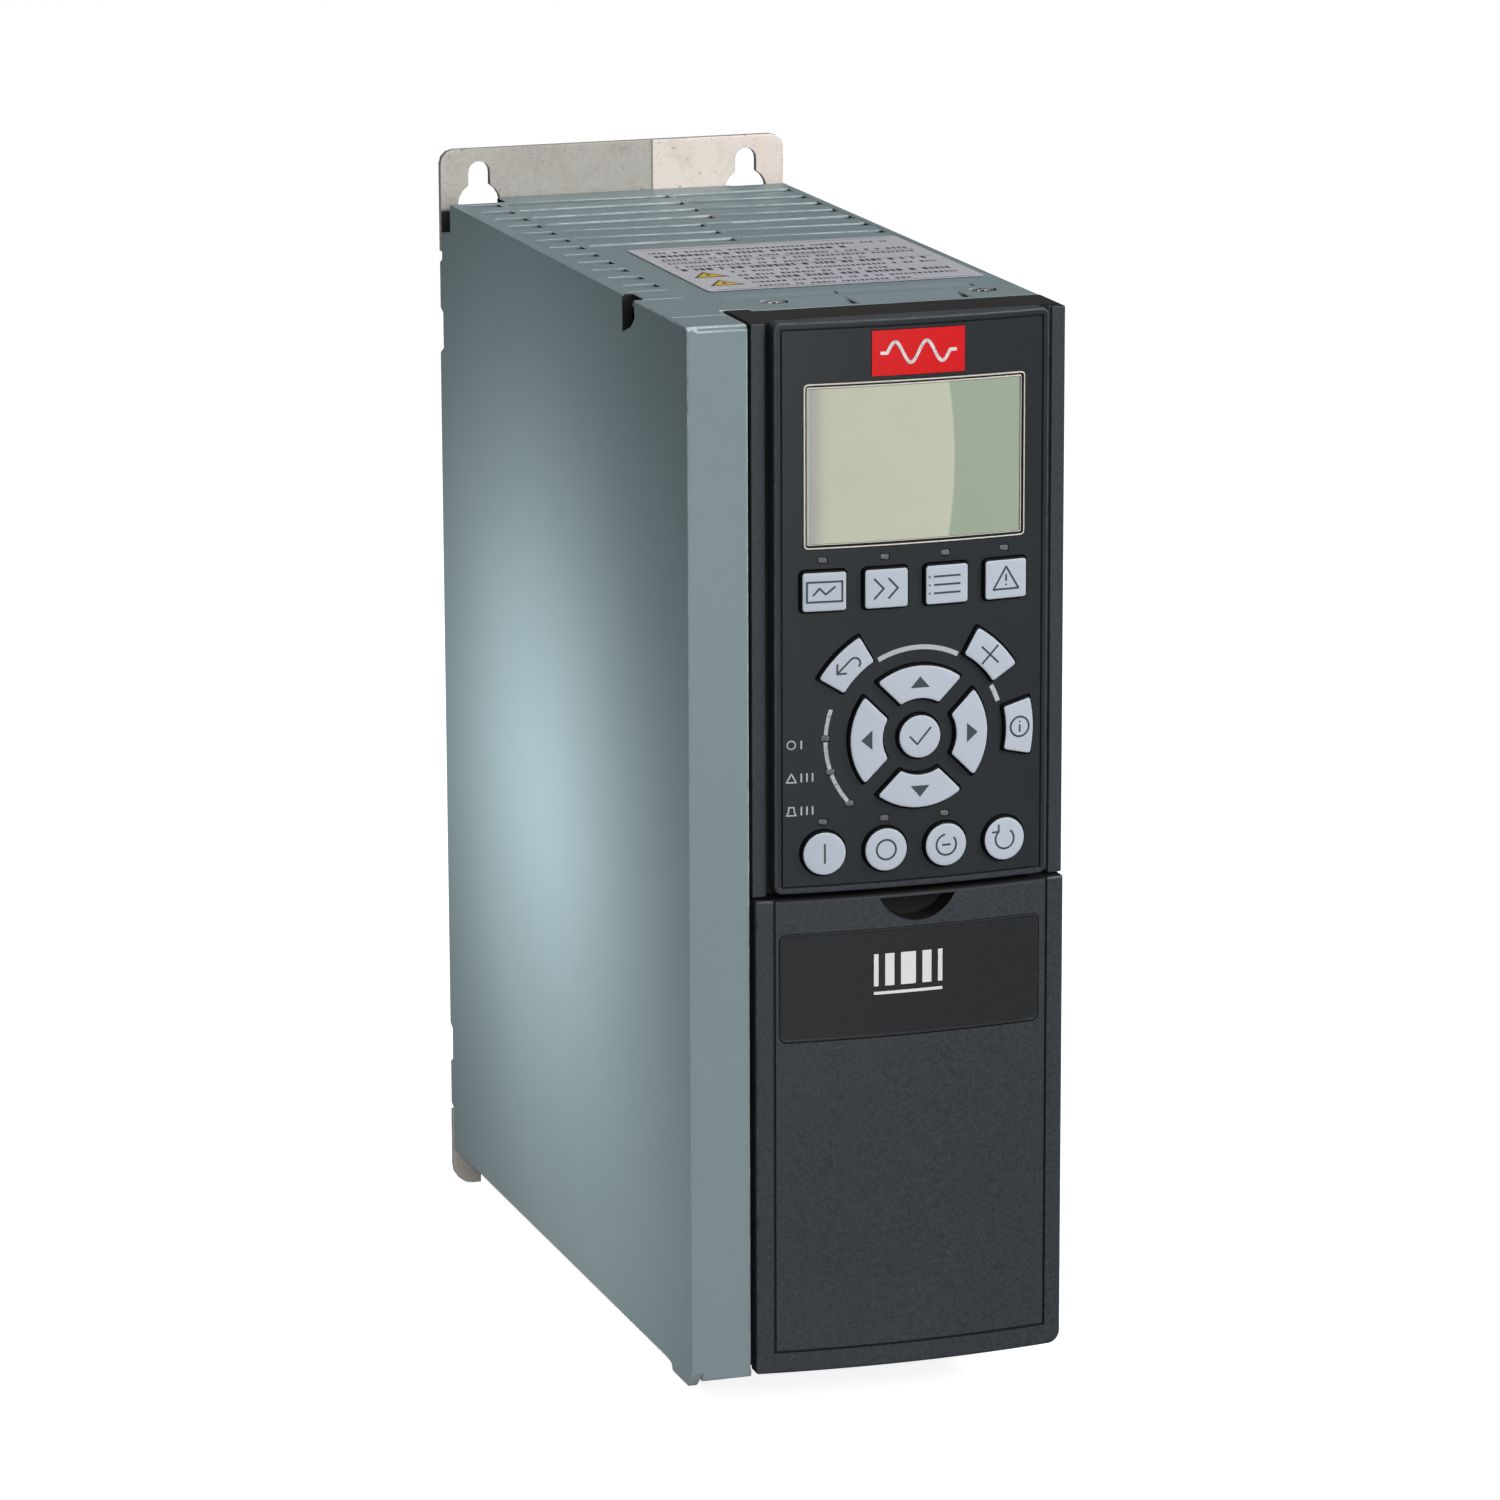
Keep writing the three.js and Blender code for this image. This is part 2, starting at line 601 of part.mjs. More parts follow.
const SOCKET = { x0: PANEL_X - 13, x1: PANEL_X + 13, z0: PANEL_TOP - 72, z1: PANEL_TOP - 61, corner: 0.6 };

function frontFrame() {
  const inset = TUB_INSET;
  const pocket = { x0: PANEL_LEFT + inset, x1: PANEL_RIGHT - inset, z0: PANEL_BOTTOM + inset,
    z1: PANEL_TOP - inset };
  const top = TOP;
  const w = FRAME_WALL;
  const outer = box(FRAME_LEFT, RIGHT, FRAME_FACE, BLACK_BACK - 0.4, FRAME_BOTTOM, top);
  const hollowY = [FRAME_FACE + w, BLACK_BACK + 1];
  const frame = join(
    cut(outer, box(FRAME_LEFT + w, RIGHT - w, ...hollowY, FRAME_BOTTOM + w, top - w)),
    box(pocket.x0 - w, pocket.x1 + w, FRAME_FACE, POCKET_FLOOR + w, pocket.z0 - w, pocket.z1 + w - 0.5),
    box(FRAME_LEFT, FRAME_LEFT + RAIL_WIDTH, FRAME_FACE - RAIL_HEIGHT, FRAME_FACE + 1, FRAME_BOTTOM, top),
    box(RIGHT - RAIL_WIDTH, RIGHT, FRAME_FACE - RAIL_HEIGHT, FRAME_FACE + 1, FRAME_BOTTOM, top),
    box(FRAME_LEFT, PANEL_LEFT + 1, BLACK_BACK - 1, BLACK_BACK + 2.6, top - w, top),
  );
  const well = alongY(rounded(pocket.x0, pocket.x1, pocket.z0, pocket.z1, 1),
    FRAME_FACE - 5, POCKET_FLOOR);
  return cut(frame, well, alongY(grown(SOCKET, 0.5), POCKET_FLOOR - 1, POCKET_FLOOR + w + 1));
}

// ---------------------------------------------------------------- control panel

// Key outlines by name; `grow` widens the outline for the hole and for the flange.
function menuKey(column) {
  const x = PANEL_X + (column - 1.5) * KEY_PITCH;
  const key = { x0: x - MENU_KEY_WIDTH / 2, x1: x + MENU_KEY_WIDTH / 2,
    z0: MENU_KEY_Z - MENU_KEY_HEIGHT / 2, z1: MENU_KEY_Z + MENU_KEY_HEIGHT / 2,
    corner: MENU_KEY_CORNER };
  return (grow) => grown(key, grow);
}

function modeKey(column) {
  const x = PANEL_X + (column - 1.5) * KEY_PITCH;
  return (grow) => circle(x, MODE_KEY_Z, ROUND_KEY_RADIUS + grow, 18);
}

function arrowKey(direction) {
  return (grow) => ringPiece(ARROW_INNER, ARROW_OUTER, direction - 45, direction + 45, grow,
    ARROW_SPACE / 2);
}

function outerKey(from, to) {
  return (grow) => ringPiece(OUTER_KEY_INNER, OUTER_KEY_OUTER, from, to, grow);
}

const KEYS = {
  status_key: menuKey(0),
  quick_menu_key: menuKey(1),
  main_menu_key: menuKey(2),
  alarm_log_key: menuKey(3),
  back_key: outerKey(120.5, 148.5),
  cancel_key: outerKey(32, 60),
  info_key: outerKey(-13.5, 14.5),
  ok_key: (grow) => circle(RING_X, RING_Z, ROUND_KEY_RADIUS + grow, 18),
  up_key: arrowKey(90),
  down_key: arrowKey(270),
  left_key: arrowKey(180),
  right_key: arrowKey(0),
  hand_on_key: modeKey(0),
  off_key: modeKey(1),
  auto_on_key: modeKey(2),
  reset_key: modeKey(3),
};

function keyCap(outline) {
  const stem = behindFront(-KEY_PROUD).intersect(alongY(outline(0), FRONT - 5, KEY_BACK));
  const flange = behindFront(PANEL_WALL + 0.25)
    .intersect(alongY(outline(KEY_FLANGE), FRONT - 5, KEY_BACK));
  return stem.add(flange);
}

// Indicator lights: lens places on the front, and the bar that joins them behind it.
const MENU_LENSES = [0, 1, 2, 3].map((i) => [PANEL_X + (i - 1.5) * KEY_PITCH, MENU_LIGHT_Z]);
const MODE_LENSES = [0, 1, 2].map((i) => [PANEL_X + (i - 1.5) * KEY_PITCH, MODE_LIGHT_Z]);
const STATUS_LENSES = [178, 199, 222].map((angle) => arc(RING_X, RING_Z, 22, angle, angle, 1)[0]);

function lens([x, z], grow) {
  return rounded(x - 1 - grow, x + 1 + grow, z - 0.65 - grow, z + 0.65 + grow, 0.3 + grow, 2);
}

function lightBar(lenses, back) {
  const pieces = lenses.map((place) => behindFront(0)
    .intersect(alongY(lens(place, 0), FRONT - 5, LIGHT_FRONT + 0.5)));
  return join(back, ...pieces);
}

function straightBar(lenses) {
  const [first, last] = [lenses[0], lenses[lenses.length - 1]];
  return lightBar(lenses,
    box(first[0] - 1, last[0] + 1, LIGHT_FRONT, LIGHT_FRONT + 0.8, first[1] - 0.65, first[1] + 0.65));
}

function curvedBar(lenses) {
  return lightBar(lenses,
    alongY(ringPiece(21.4, 22.6, 175, 225), LIGHT_FRONT, LIGHT_FRONT + 0.8));
}

function panelBezel() {
  const outline = { x0: PANEL_LEFT, x1: PANEL_RIGHT, z0: PANEL_BOTTOM, z1: PANEL_TOP,
    corner: PANEL_CORNER };
  const outer = behindFront(0).intersect(alongY(grown(outline, 0), FRONT - 5, PANEL_BACK));
  const inner = behindFront(PANEL_WALL)
    .intersect(alongY(grown(outline, -PANEL_SKIRT + 0.01), FRONT - 5, PANEL_BACK + 1));
  const through = (shape) => alongY(shape, FRONT - 5, PANEL_BACK);
  const holes = [
    ...Object.values(KEYS).map((outlineOf) => through(outlineOf(KEY_CLEARANCE))),
    ...[...MENU_LENSES, ...MODE_LENSES, ...STATUS_LENSES].map((place) => through(lens(place, 0.2))),
    through(grown(WINDOW, 0.2)),
    layerPiece(grown(BADGE, 0.2), -1, 1.5),
  ];
  return cut(outer, inner, ...holes);
}

function panelBack() {
  const rim = rounded(PANEL_LEFT + PANEL_SKIRT + GAP, PANEL_RIGHT - PANEL_SKIRT - GAP,
    PANEL_BOTTOM + PANEL_SKIRT + GAP, PANEL_TOP - PANEL_SKIRT - GAP, 0.8);
  const inset = TUB_INSET + PANEL_GAP;
  const tub = rounded(PANEL_LEFT + inset, PANEL_RIGHT - inset, PANEL_BOTTOM + inset,
    PANEL_TOP - inset, 1);
  const wall = inset + PANEL_SKIRT;
  const inside = rounded(PANEL_LEFT + wall, PANEL_RIGHT - wall, PANEL_BOTTOM + wall,
    PANEL_TOP - wall, 0.8);
  return cut(
    join(alongY(rim, PANEL_BACK - 0.7, PANEL_BACK), alongY(tub, PANEL_BACK - 0.2, TUB_BACK)),
    alongY(inside, FRONT, TUB_BACK - FRAME_WALL),
    alongY(grown(SOCKET, 0.2), FRONT, TUB_BACK + 1),
  );
}

function insidePanel(z0, z1, y0, y1) {
  const inset = TUB_INSET + PANEL_GAP + PANEL_SKIRT + GAP;
  return box(PANEL_LEFT + inset, PANEL_RIGHT - inset, y0, y1, z0, z1);
}

function displayWindow() {
  return join(
    layerPiece(grown(WINDOW, 0), -0.25, PANEL_WALL + 0.5),
    layerPiece(grown(WINDOW, 1), PANEL_WALL + 0.1, 0.6),
  );
}

function panelConnector() {
  const y0 = PANEL_BOARD_BACK + GAP;
  const cavity = grown(SOCKET, -2.6);
  return cut(alongY(grown(SOCKET, 0), y0, TUB_BACK - 0.2), alongY(cavity, TUB_BACK - 7, TUB_BACK + 1));
}

function panelSocket() {
  return join(
    alongY(grown(SOCKET, 0), TUB_BACK + GAP, CONTROL_BOARD_FRONT - GAP),
    alongY(grown(SOCKET, -3.1), TUB_BACK - 5, TUB_BACK + 1),
  );
}

function buildPanel() {
  const panel = new THREE.Group();
  const boardLow = PANEL_BOTTOM + TUB_INSET + PANEL_GAP + PANEL_SKIRT + GAP;
  const boardHigh = PANEL_TOP - (boardLow - PANEL_BOTTOM);
  add(panel, 'panel_bezel', panelBezel(), PANEL_PLASTIC);
  add(panel, 'panel_back', panelBack(), BLACK_PLASTIC);
  add(panel, 'display_window', displayWindow(), WINDOW_PLASTIC);
  add(panel, 'lcd_module', insidePanel(WINDOW.z0 - 0.9, WINDOW.z1 + 1.2, LCD_FRONT, MAT_BACK), LCD_FACE);
  add(panel, 'panel_board', insidePanel(boardLow, boardHigh, PANEL_BOARD_FRONT, PANEL_BOARD_BACK),
    CIRCUIT_BOARD);
  add(panel, 'keypad_mat', insidePanel(boardLow, MENU_LIGHT_Z - 1.7, MAT_FRONT, MAT_BACK), SILICONE);
  add(panel, 'badge_plate', layerPiece(grown(BADGE, 0), -0.15, 0.5), RED_BADGE);
  add(panel, 'panel_connector', panelConnector(), DARK_LABEL);
  add(panel, 'menu_lights', straightBar(MENU_LENSES), LIGHT_PIPE);
  add(panel, 'mode_lights', straightBar(MODE_LENSES), LIGHT_PIPE);
  add(panel, 'status_lights', curvedBar(STATUS_LENSES), LIGHT_PIPE);
  for (const [name, outline] of Object.entries(KEYS)) {
    add(panel, name, keyCap(outline), KEY_PLASTIC);
  }
  return panel;
}

// ---------------------------------------------------------------- terminal cover

const COVER_LABEL = { x0: PANEL_X - 31.8, x1: PANEL_X + 31, z0: COVER_TOP - 8.2 - COVER_LABEL_HEIGHT,
  z1: COVER_TOP - 8.2, corner: 1.5 };

function coverOutline() {
  return [
    [COVER_LEFT, COVER_TOP], [COVER_LEFT, COVER_BOTTOM],
    ...arc(RIGHT - COVER_CORNER, COVER_BOTTOM + COVER_CORNER, COVER_CORNER, 270, 360, 4),
    [RIGHT, COVER_TOP],
  ];
}

function coverGrooves() {
  const left = PANEL_X - 33;
  const right = PANEL_X + 33;
  const low = COVER_BOTTOM + 5.2;
  return [
    layerPiece(rectangle(left - 0.3, left + 0.3, low, COVER_TOP + 1), -1, 1.5),
    layerPiece(rectangle(right - 0.3, right + 0.3, low, COVER_TOP + 1), -1, 1.5),
    layerPiece(rectangle(left - 0.3, right + 0.3, low - 0.3, low + 0.3), -1, 1.5),
  ];
}

function halfMoon(grow) {
  const half = NOTCH_WIDTH / 2;
  const radius = (half ** 2 + NOTCH_DEPTH ** 2) / (2 * NOTCH_DEPTH);
  const z = COVER_TOP - 1 - NOTCH_DEPTH + radius;
  const reach = Math.asin(half / radius) * 180 / Math.PI;
  return arc(PANEL_X + 0.8, z, radius + grow, 270 - reach, 270 + reach, 10);
}

function hingeEar(x0, x1) {
  const ear = [
    ...arc(HINGE_Y, HINGE_Z, HINGE_EAR, -90, 90, 8),
    [FRONT + 4, HINGE_Z + HINGE_EAR], [FRONT + 4, HINGE_Z - HINGE_EAR],
  ];
  return alongX(ear, x0, x1).intersect(behindFront(1));
}

function hingePin(x0, x1) {
  return alongX(circle(HINGE_Y, HINGE_Z, HINGE_PIN, 16), x0, x1);
}

function terminalCover() {
  const skirtBack = FRONT + 7.9;
  const sideBack = FRONT + 19.2;
  const slab = (x0, x1, z0, z1, back) => behindFront(1).intersect(
    box(x0, x1, FRONT - 1, back, z0, z1));
  const [leftBracket, rightBracket] = BRACKETS;
  const reach = BRACKET_WIDTH + 2 * GAP;
  const body = join(
    layerPiece(coverOutline(), 0, COVER_THICKNESS),
    slab(COVER_LEFT, COVER_LEFT + FRAME_WALL, COVER_BOTTOM + 6, COVER_TOP, FRONT + 9.2),
    slab(RIGHT - COVER_THICKNESS, RIGHT, COVER_BOTTOM + COVER_CORNER, COVER_TOP, sideBack),
    slab(COVER_LEFT, RIGHT - COVER_CORNER, COVER_BOTTOM, COVER_BOTTOM + COVER_THICKNESS, skirtBack),
    slab(COVER_LEFT, RIGHT, COVER_TOP - COVER_THICKNESS, COVER_TOP, skirtBack),
    behindFront(1).intersect(alongY(halfMoon(1.8), FRONT - 1, skirtBack)),
    hingeEar(leftBracket - GAP - HINGE_EAR, leftBracket - GAP),
    hingePin(leftBracket - GAP - 1, leftBracket - GAP + reach),
    hingeEar(rightBracket + BRACKET_WIDTH + GAP, rightBracket + BRACKET_WIDTH + GAP + HINGE_EAR),
    hingePin(rightBracket + BRACKET_WIDTH + GAP - reach, rightBracket + BRACKET_WIDTH + GAP + 1),
  );
  return cut(body, ...coverGrooves(),
    alongY(halfMoon(0), FRONT - 1, skirtBack - 1.5),
    layerPiece(grown(COVER_LABEL, 0.15), -1, 1.6));
}

function buildCover() {
  const cover = new THREE.Group();
  add(cover, 'terminal_cover', terminalCover(), BLACK_PLASTIC);
  add(cover, 'cover_label', layerPiece(grown(COVER_LABEL, 0), -0.05, 0.5), DARK_LABEL);
  return cover;
}

// ---------------------------------------------------------------- cooling

function heatsink() {
  const back = INNER_BACK - GAP;
  const half = INNER_RIGHT - 3;
  const pitch = (2 * half - FIN_THICKNESS) / (FIN_COUNT - 1);
  const baseBack = SINK_FRONT + SINK_BASE;
  const outline = [[half, SINK_FRONT], [-half, SINK_FRONT]];
  for (let i = 0; i < FIN_COUNT; i += 1) {
    const x = -half + i * pitch;
    const end = i === 0 || i === FIN_COUNT - 1 ? back : back - 3;
    if (i > 0) outline.push([x, baseBack]);
    outline.push([x, end], [x + FIN_THICKNESS, end]);
    if (i < FIN_COUNT - 1) outline.push([x + FIN_THICKNESS, baseBack]);
  }
  return alongZ(outline, FAN_TOP + 8, TOP - WALL - 6);
}

const FAN_BORE = FAN_SIZE / 2 - 1.5;

function fanFrame() {
  const half = FAN_SIZE / 2;
  const flange = [[0, 4], [FAN_THICKNESS - 4, FAN_THICKNESS]];
  const plates = flange.map(([low, high]) => alongZ(
    rounded(-half, half, FAN_Y - half, FAN_Y + half, 3), FAN_BOTTOM + low, FAN_BOTTOM + high));
  const barrel = alongZ(circle(0, FAN_Y, FAN_BORE + 1.4, 24), FAN_BOTTOM + 1, FAN_TOP - 1);
  const bore = alongZ(circle(0, FAN_Y, FAN_BORE, 24), FAN_BOTTOM - 1, FAN_TOP + 1);
  const spoke = [
    box(-FAN_BORE - 0.5, FAN_BORE + 0.5, FAN_Y - 1.3, FAN_Y + 1.3, FAN_BOTTOM, FAN_BOTTOM + 2.5),
    box(-1.3, 1.3, FAN_Y - FAN_BORE - 0.5, FAN_Y + FAN_BORE + 0.5, FAN_BOTTOM, FAN_BOTTOM + 2.5),
  ];
  const hub = alongZ(circle(0, FAN_Y, FAN_HUB, 24), FAN_BOTTOM, FAN_BOTTOM + 2.5);
  const bearing = alongZ(circle(0, FAN_Y, 1.8, 16), FAN_BOTTOM - 1, FAN_BOTTOM + 4);
  return cut(join(cut(join(...plates, barrel), bore), ...spoke, hub), bearing);
}

function fanBlade() {
  const length = FAN_BORE - FAN_TIP_CLEARANCE - FAN_HUB + 1;
  const blade = new THREE.BoxGeometry(length, 1.2, 17);
  blade.rotateX(radians(38));
  blade.translate(FAN_HUB - 1 + length / 2, 0, 0);
  return blade;
}

function fanRotor() {
  const low = FAN_BOTTOM + 3.2;
  const high = FAN_TOP - 1.5;
  let rotor = join(
    alongZ(circle(0, 0, FAN_HUB, 24), low, high),
    alongZ(circle(0, 0, 1.5, 12), FAN_BOTTOM + 0.4, low + 1),
  );
  for (let i = 0; i < FAN_BLADES; i += 1) {
    const blade = fanBlade();
    blade.rotateZ(2 * Math.PI * i / FAN_BLADES);
    blade.translate(0, 0, (low + high) / 2);
    rotor = rotor.add(solid(blade));
  }
  return rotor;
}

function buildFan() {
  const fan = new THREE.Group();
  fan.position.set(0, FAN_Y, 0);
  add(fan, 'fan_rotor', fanRotor(), BLACK_PLASTIC);
  return fan;
}

// ---------------------------------------------------------------- power electronics

function powerBoard() {
  return box(-INNER_RIGHT + 3, INNER_RIGHT - 3, POWER_BOARD_FRONT, POWER_BOARD_BACK,
    POWER_BOARD_BOTTOM, TOP - WALL - 6);
}

function powerModule() {
  const z0 = POWER_BOARD_BOTTOM + 26;
  const body = box(-25, 25, SINK_FRONT - GAP - MODULE_HEIGHT + 3, SINK_FRONT - GAP, z0, z0 + 90);
  const lid = box(-22, 22, POWER_BOARD_BACK + GAP, SINK_FRONT - GAP - MODULE_HEIGHT + 4, z0 + 4, z0 + 86);
  return body.add(lid);
}

function capacitor(x, z) {
  const y1 = POWER_BOARD_FRONT - GAP;
  const y0 = y1 - CAPACITOR_LENGTH;
  return alongY(circle(x, z, CAPACITOR_RADIUS, 24), y0, y1);
}

const CAPACITORS = [[-17, TOP - 32], [17, TOP - 32], [-17, TOP - 68], [17, TOP - 68]];

function innerChassis() {
  const plate = box(-INNER_RIGHT, INNER_RIGHT, CHASSIS_FRONT, CHASSIS_FRONT + FRAME_WALL,
    TERMINAL_SHELF + 6, TOP - WALL - 2);
  const window = alongY(rounded(-24, 24, TOP - 122, TOP - 98, 3), CHASSIS_FRONT - 1, CHASSIS_FRONT + 3);
  const shelf = box(-INNER_RIGHT, INNER_RIGHT, CHASSIS_FRONT, CHASSIS_FRONT + 14,
    TERMINAL_SHELF + 4, TERMINAL_SHELF + 6);
  return join(cut(plate, window), shelf);
}

function toroid(x, y0, y1, z, outer, inner) {
  return cut(alongY(circle(x, z, outer, 24), y0, y1), alongY(circle(x, z, inner, 16), y0 - 1, y1 + 1));
}

function filterChoke() {
  const z = CHOKE_BOTTOM + CHOKE_HEIGHT / 2;
  const y0 = SINK_FRONT - GAP - 17;
  const y1 = SINK_FRONT - GAP;
  let choke = toroid(21, y0 + 2, y1 - 2, z, 15, 9);
  for (const angle of [-60, -36, -12, 12, 36, 60, 120, 144, 168, 192, 216, 240]) {
    const turn = new THREE.BoxGeometry(8.4, 17, 2.6);
    turn.translate(12, (y0 + y1) / 2, 0);
    turn.rotateY(radians(angle));
    turn.translate(21, 0, z);
    choke = choke.add(solid(turn));
  }
  return choke;
}

// A laminated core with one window each side of its wound middle.
function dcChoke() {
  const y1 = SINK_FRONT - GAP;
  const [z0, z1] = [CHOKE_BOTTOM, CHOKE_BOTTOM + CHOKE_HEIGHT];
  const yoke = 10;
  return join(
    box(-38, -2, y1 - 34, y1, z0, z0 + yoke),
    box(-38, -2, y1 - 34, y1, z1 - yoke, z1),
    box(-38, -38 + yoke, y1 - 34, y1, z0 + 1, z1 - 1),
    box(-2 - yoke, -2, y1 - 34, y1, z0 + 1, z1 - 1),
    box(-29, -11, y1 - 38, y1 - 3, z0 + yoke - 0.5, z1 - yoke + 0.5),
  );
}

function inrushRelay() {
  const y1 = POWER_BOARD_FRONT - GAP;
  return box(18, 34, y1 - 15, y1, POWER_BOARD_BOTTOM + 6, POWER_BOARD_BOTTOM + 34);
}

function controlBoard() {
  return box(-INNER_RIGHT + 1, INNER_RIGHT - 1, CONTROL_BOARD_FRONT, CONTROL_BOARD_BACK,
    TERMINAL_SHELF + 4, TOP - WALL - 3);
}

// ---------------------------------------------------------------- terminals

function terminalBase() {
  const back = CHASSIS_FRONT - 8;
  const plate = box(-INNER_RIGHT, INNER_RIGHT, TERMINAL_PLATE_FRONT, TERMINAL_PLATE_BACK,
    TERMINAL_SHELF, TERMINAL_PLATE_TOP);
  const shelf = box(-INNER_RIGHT, INNER_RIGHT, TERMINAL_PLATE_FRONT, back,
    TERMINAL_SHELF, TERMINAL_SHELF + FRAME_WALL);
  return plate.add(shelf);
}

// A plug-in terminal block: screw wells on the face, wire funnels below them.
function terminalBlock(x0, poles, pitch, y0, y1, z0, z1) {
  const width = poles * pitch + 1.6;
  const well = pitch * 0.3;
  const middle = (z0 + z1) / 2;
  const wells = [];
  for (let i = 0; i < poles; i += 1) {
    const x = x0 + 0.8 + pitch * (i + 0.5);
    const high = (z1 - z0) * 0.25;
    for (const z of [middle - high, middle + high]) {
      wells.push(box(x - well, x + well, y0 - 1, y0 + 5, z - well, z + well));
    }
  }
  const step = box(x0 - 1, x0 + width + 1, y0 - 1, y0 + 2, z0 - 1, z0 + 1.2);
  return cut(box(x0, x0 + width, y0, y1, z0, z1), step, ...wells);
}

function addTerminals(parent) {
  const back = TERMINAL_PLATE_FRONT - GAP;
  const controlFront = back - 12;
  const top = TERMINAL_PLATE_TOP - 6;
  const low = TERMINAL_SHELF - GAP;
  const powerFront = TERMINAL_PLATE_FRONT + 1;
  const powerBack = powerFront + 26;
  const left = -INNER_RIGHT + 2;
  add(parent, 'control_terminals_left',
    terminalBlock(left + 10, 6, 5, controlFront, back, top - 13, top), TERMINAL_GREEN);
  add(parent, 'control_terminals_right',
    terminalBlock(left + 46, 5, 5, controlFront, back, top - 13, top), TERMINAL_GREEN);
  add(parent, 'relay_terminals',
    terminalBlock(left + 10, 6, 5, controlFront, back, top - 38, top - 25), TERMINAL_GREEN);
  add(parent, 'mains_terminals',
    terminalBlock(left + 1, 4, 6.8, powerFront, powerBack, low - 20, low), TERMINAL_GREEN);
  add(parent, 'brake_terminals',
    terminalBlock(left + 31.5, 2, 6.8, powerFront, powerBack, low - 20, low), TERMINAL_GREEN);
  add(parent, 'motor_terminals',
    terminalBlock(left + 48.5, 4, 6.8, powerFront, powerBack, low - 20, low), TERMINAL_GREEN);
}

// A steel comb behind the cable entries, where the cable screens are clamped.
function cableClamp() {
  const y = TRAY_FRONT + 6 + ENTRY_DEPTH + 3;
  const low = BOTTOM + WALL + GAP;
  const plate = box(-INNER_RIGHT + 2, INNER_RIGHT - 2, y, y + 1.5, low, low + 20);
  const foot = box(-INNER_RIGHT + 2, INNER_RIGHT - 2, y, y + 8, low, low + 1.5);
  const notches = CABLE_ENTRIES.map((x) => alongY(
    [...arc(x, low + 13, 6, 180, 360, 8), [x + 6, low + 22], [x - 6, low + 22]], y - 1, y + 3));
  return cut(plate.add(foot), ...notches);
}

// ---------------------------------------------------------------- assembly

function buildBody() {
  const body = new THREE.Group();
  add(body, 'mounting_plate', mountingPlate(), GALVANISED);
  add(body, 'housing_shell', housingShell(), GREY_PLASTIC);
  add(body, 'bottom_tray', bottomTray(), BLACK_PLASTIC);
  add(body, 'front_frame', frontFrame(), BLACK_PLASTIC);
  add(body, 'rating_label', ratingLabel(), LABEL_FOIL);
  add(body, 'deck_screw_left', deckScrew(DECK_SCREWS[0]), STEEL);
  add(body, 'deck_screw_right', deckScrew(DECK_SCREWS[1]), STEEL);
  add(body, 'panel_socket', panelSocket(), DARK_LABEL);
  add(body, 'heatsink', heatsink(), ALUMINIUM);
  add(body, 'fan_frame', fanFrame(), BLACK_PLASTIC);
  add(body, 'power_board', powerBoard(), CIRCUIT_BOARD);
  add(body, 'power_module', powerModule(), MODULE_PLASTIC);
  CAPACITORS.forEach(([x, z], i) => {
    add(body, `dc_capacitor_${i + 1}`, capacitor(x, z), CAPACITOR_SLEEVE);
  });
  add(body, 'inner_chassis', innerChassis(), BLACK_PLASTIC);
  add(body, 'filter_choke', filterChoke(), COPPER);
  add(body, 'dc_choke', dcChoke(), CORE_STEEL);
  add(body, 'inrush_relay', inrushRelay(), MODULE_PLASTIC);
  add(body, 'control_board', controlBoard(), CIRCUIT_BOARD);
  add(body, 'terminal_base', terminalBase(), BLACK_PLASTIC);
  addTerminals(body);
  add(body, 'cable_clamp', cableClamp(), GALVANISED);
  return body;
}

const drive = new THREE.Group();
drive.add(buildBody(), buildPanel(), buildCover(), buildFan());

export default drive;
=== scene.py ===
import math
import random

import bmesh
import bpy
from mathutils import Matrix, Vector


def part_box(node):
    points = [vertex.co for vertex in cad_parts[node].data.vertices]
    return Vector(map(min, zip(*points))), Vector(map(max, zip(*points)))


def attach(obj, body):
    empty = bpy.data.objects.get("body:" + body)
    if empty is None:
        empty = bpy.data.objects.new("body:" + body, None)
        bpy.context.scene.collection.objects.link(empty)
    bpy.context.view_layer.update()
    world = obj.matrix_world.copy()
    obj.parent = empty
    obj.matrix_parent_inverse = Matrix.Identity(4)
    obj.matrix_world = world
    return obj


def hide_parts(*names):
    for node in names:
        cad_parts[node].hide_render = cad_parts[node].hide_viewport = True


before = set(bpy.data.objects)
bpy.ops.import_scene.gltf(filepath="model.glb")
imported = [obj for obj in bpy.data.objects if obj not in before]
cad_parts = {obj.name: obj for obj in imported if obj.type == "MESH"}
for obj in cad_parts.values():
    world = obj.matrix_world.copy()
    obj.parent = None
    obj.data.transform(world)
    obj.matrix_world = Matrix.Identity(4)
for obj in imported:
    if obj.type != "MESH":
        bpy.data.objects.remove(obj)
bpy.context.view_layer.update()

# Looks of a slim variable frequency drive with a pull-out control panel.
# Shapes are drawn in millimetres in the CAD's own frame, and turned into metres when a mesh is made.

MM = 0.001


def place(node):
    """The lowest and highest corner of a CAD node, in millimetres."""
    low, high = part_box(node)
    return low / MM, high / MM


# ------------------------------------------------------------------ places and sizes

BEZEL_LOW, BEZEL_HIGH = place("panel_bezel")
COVER_LOW, COVER_HIGH = place("terminal_cover")
SHELL_LOW, SHELL_HIGH = place("housing_shell")
PLATE_LOW, _ = place("mounting_plate")

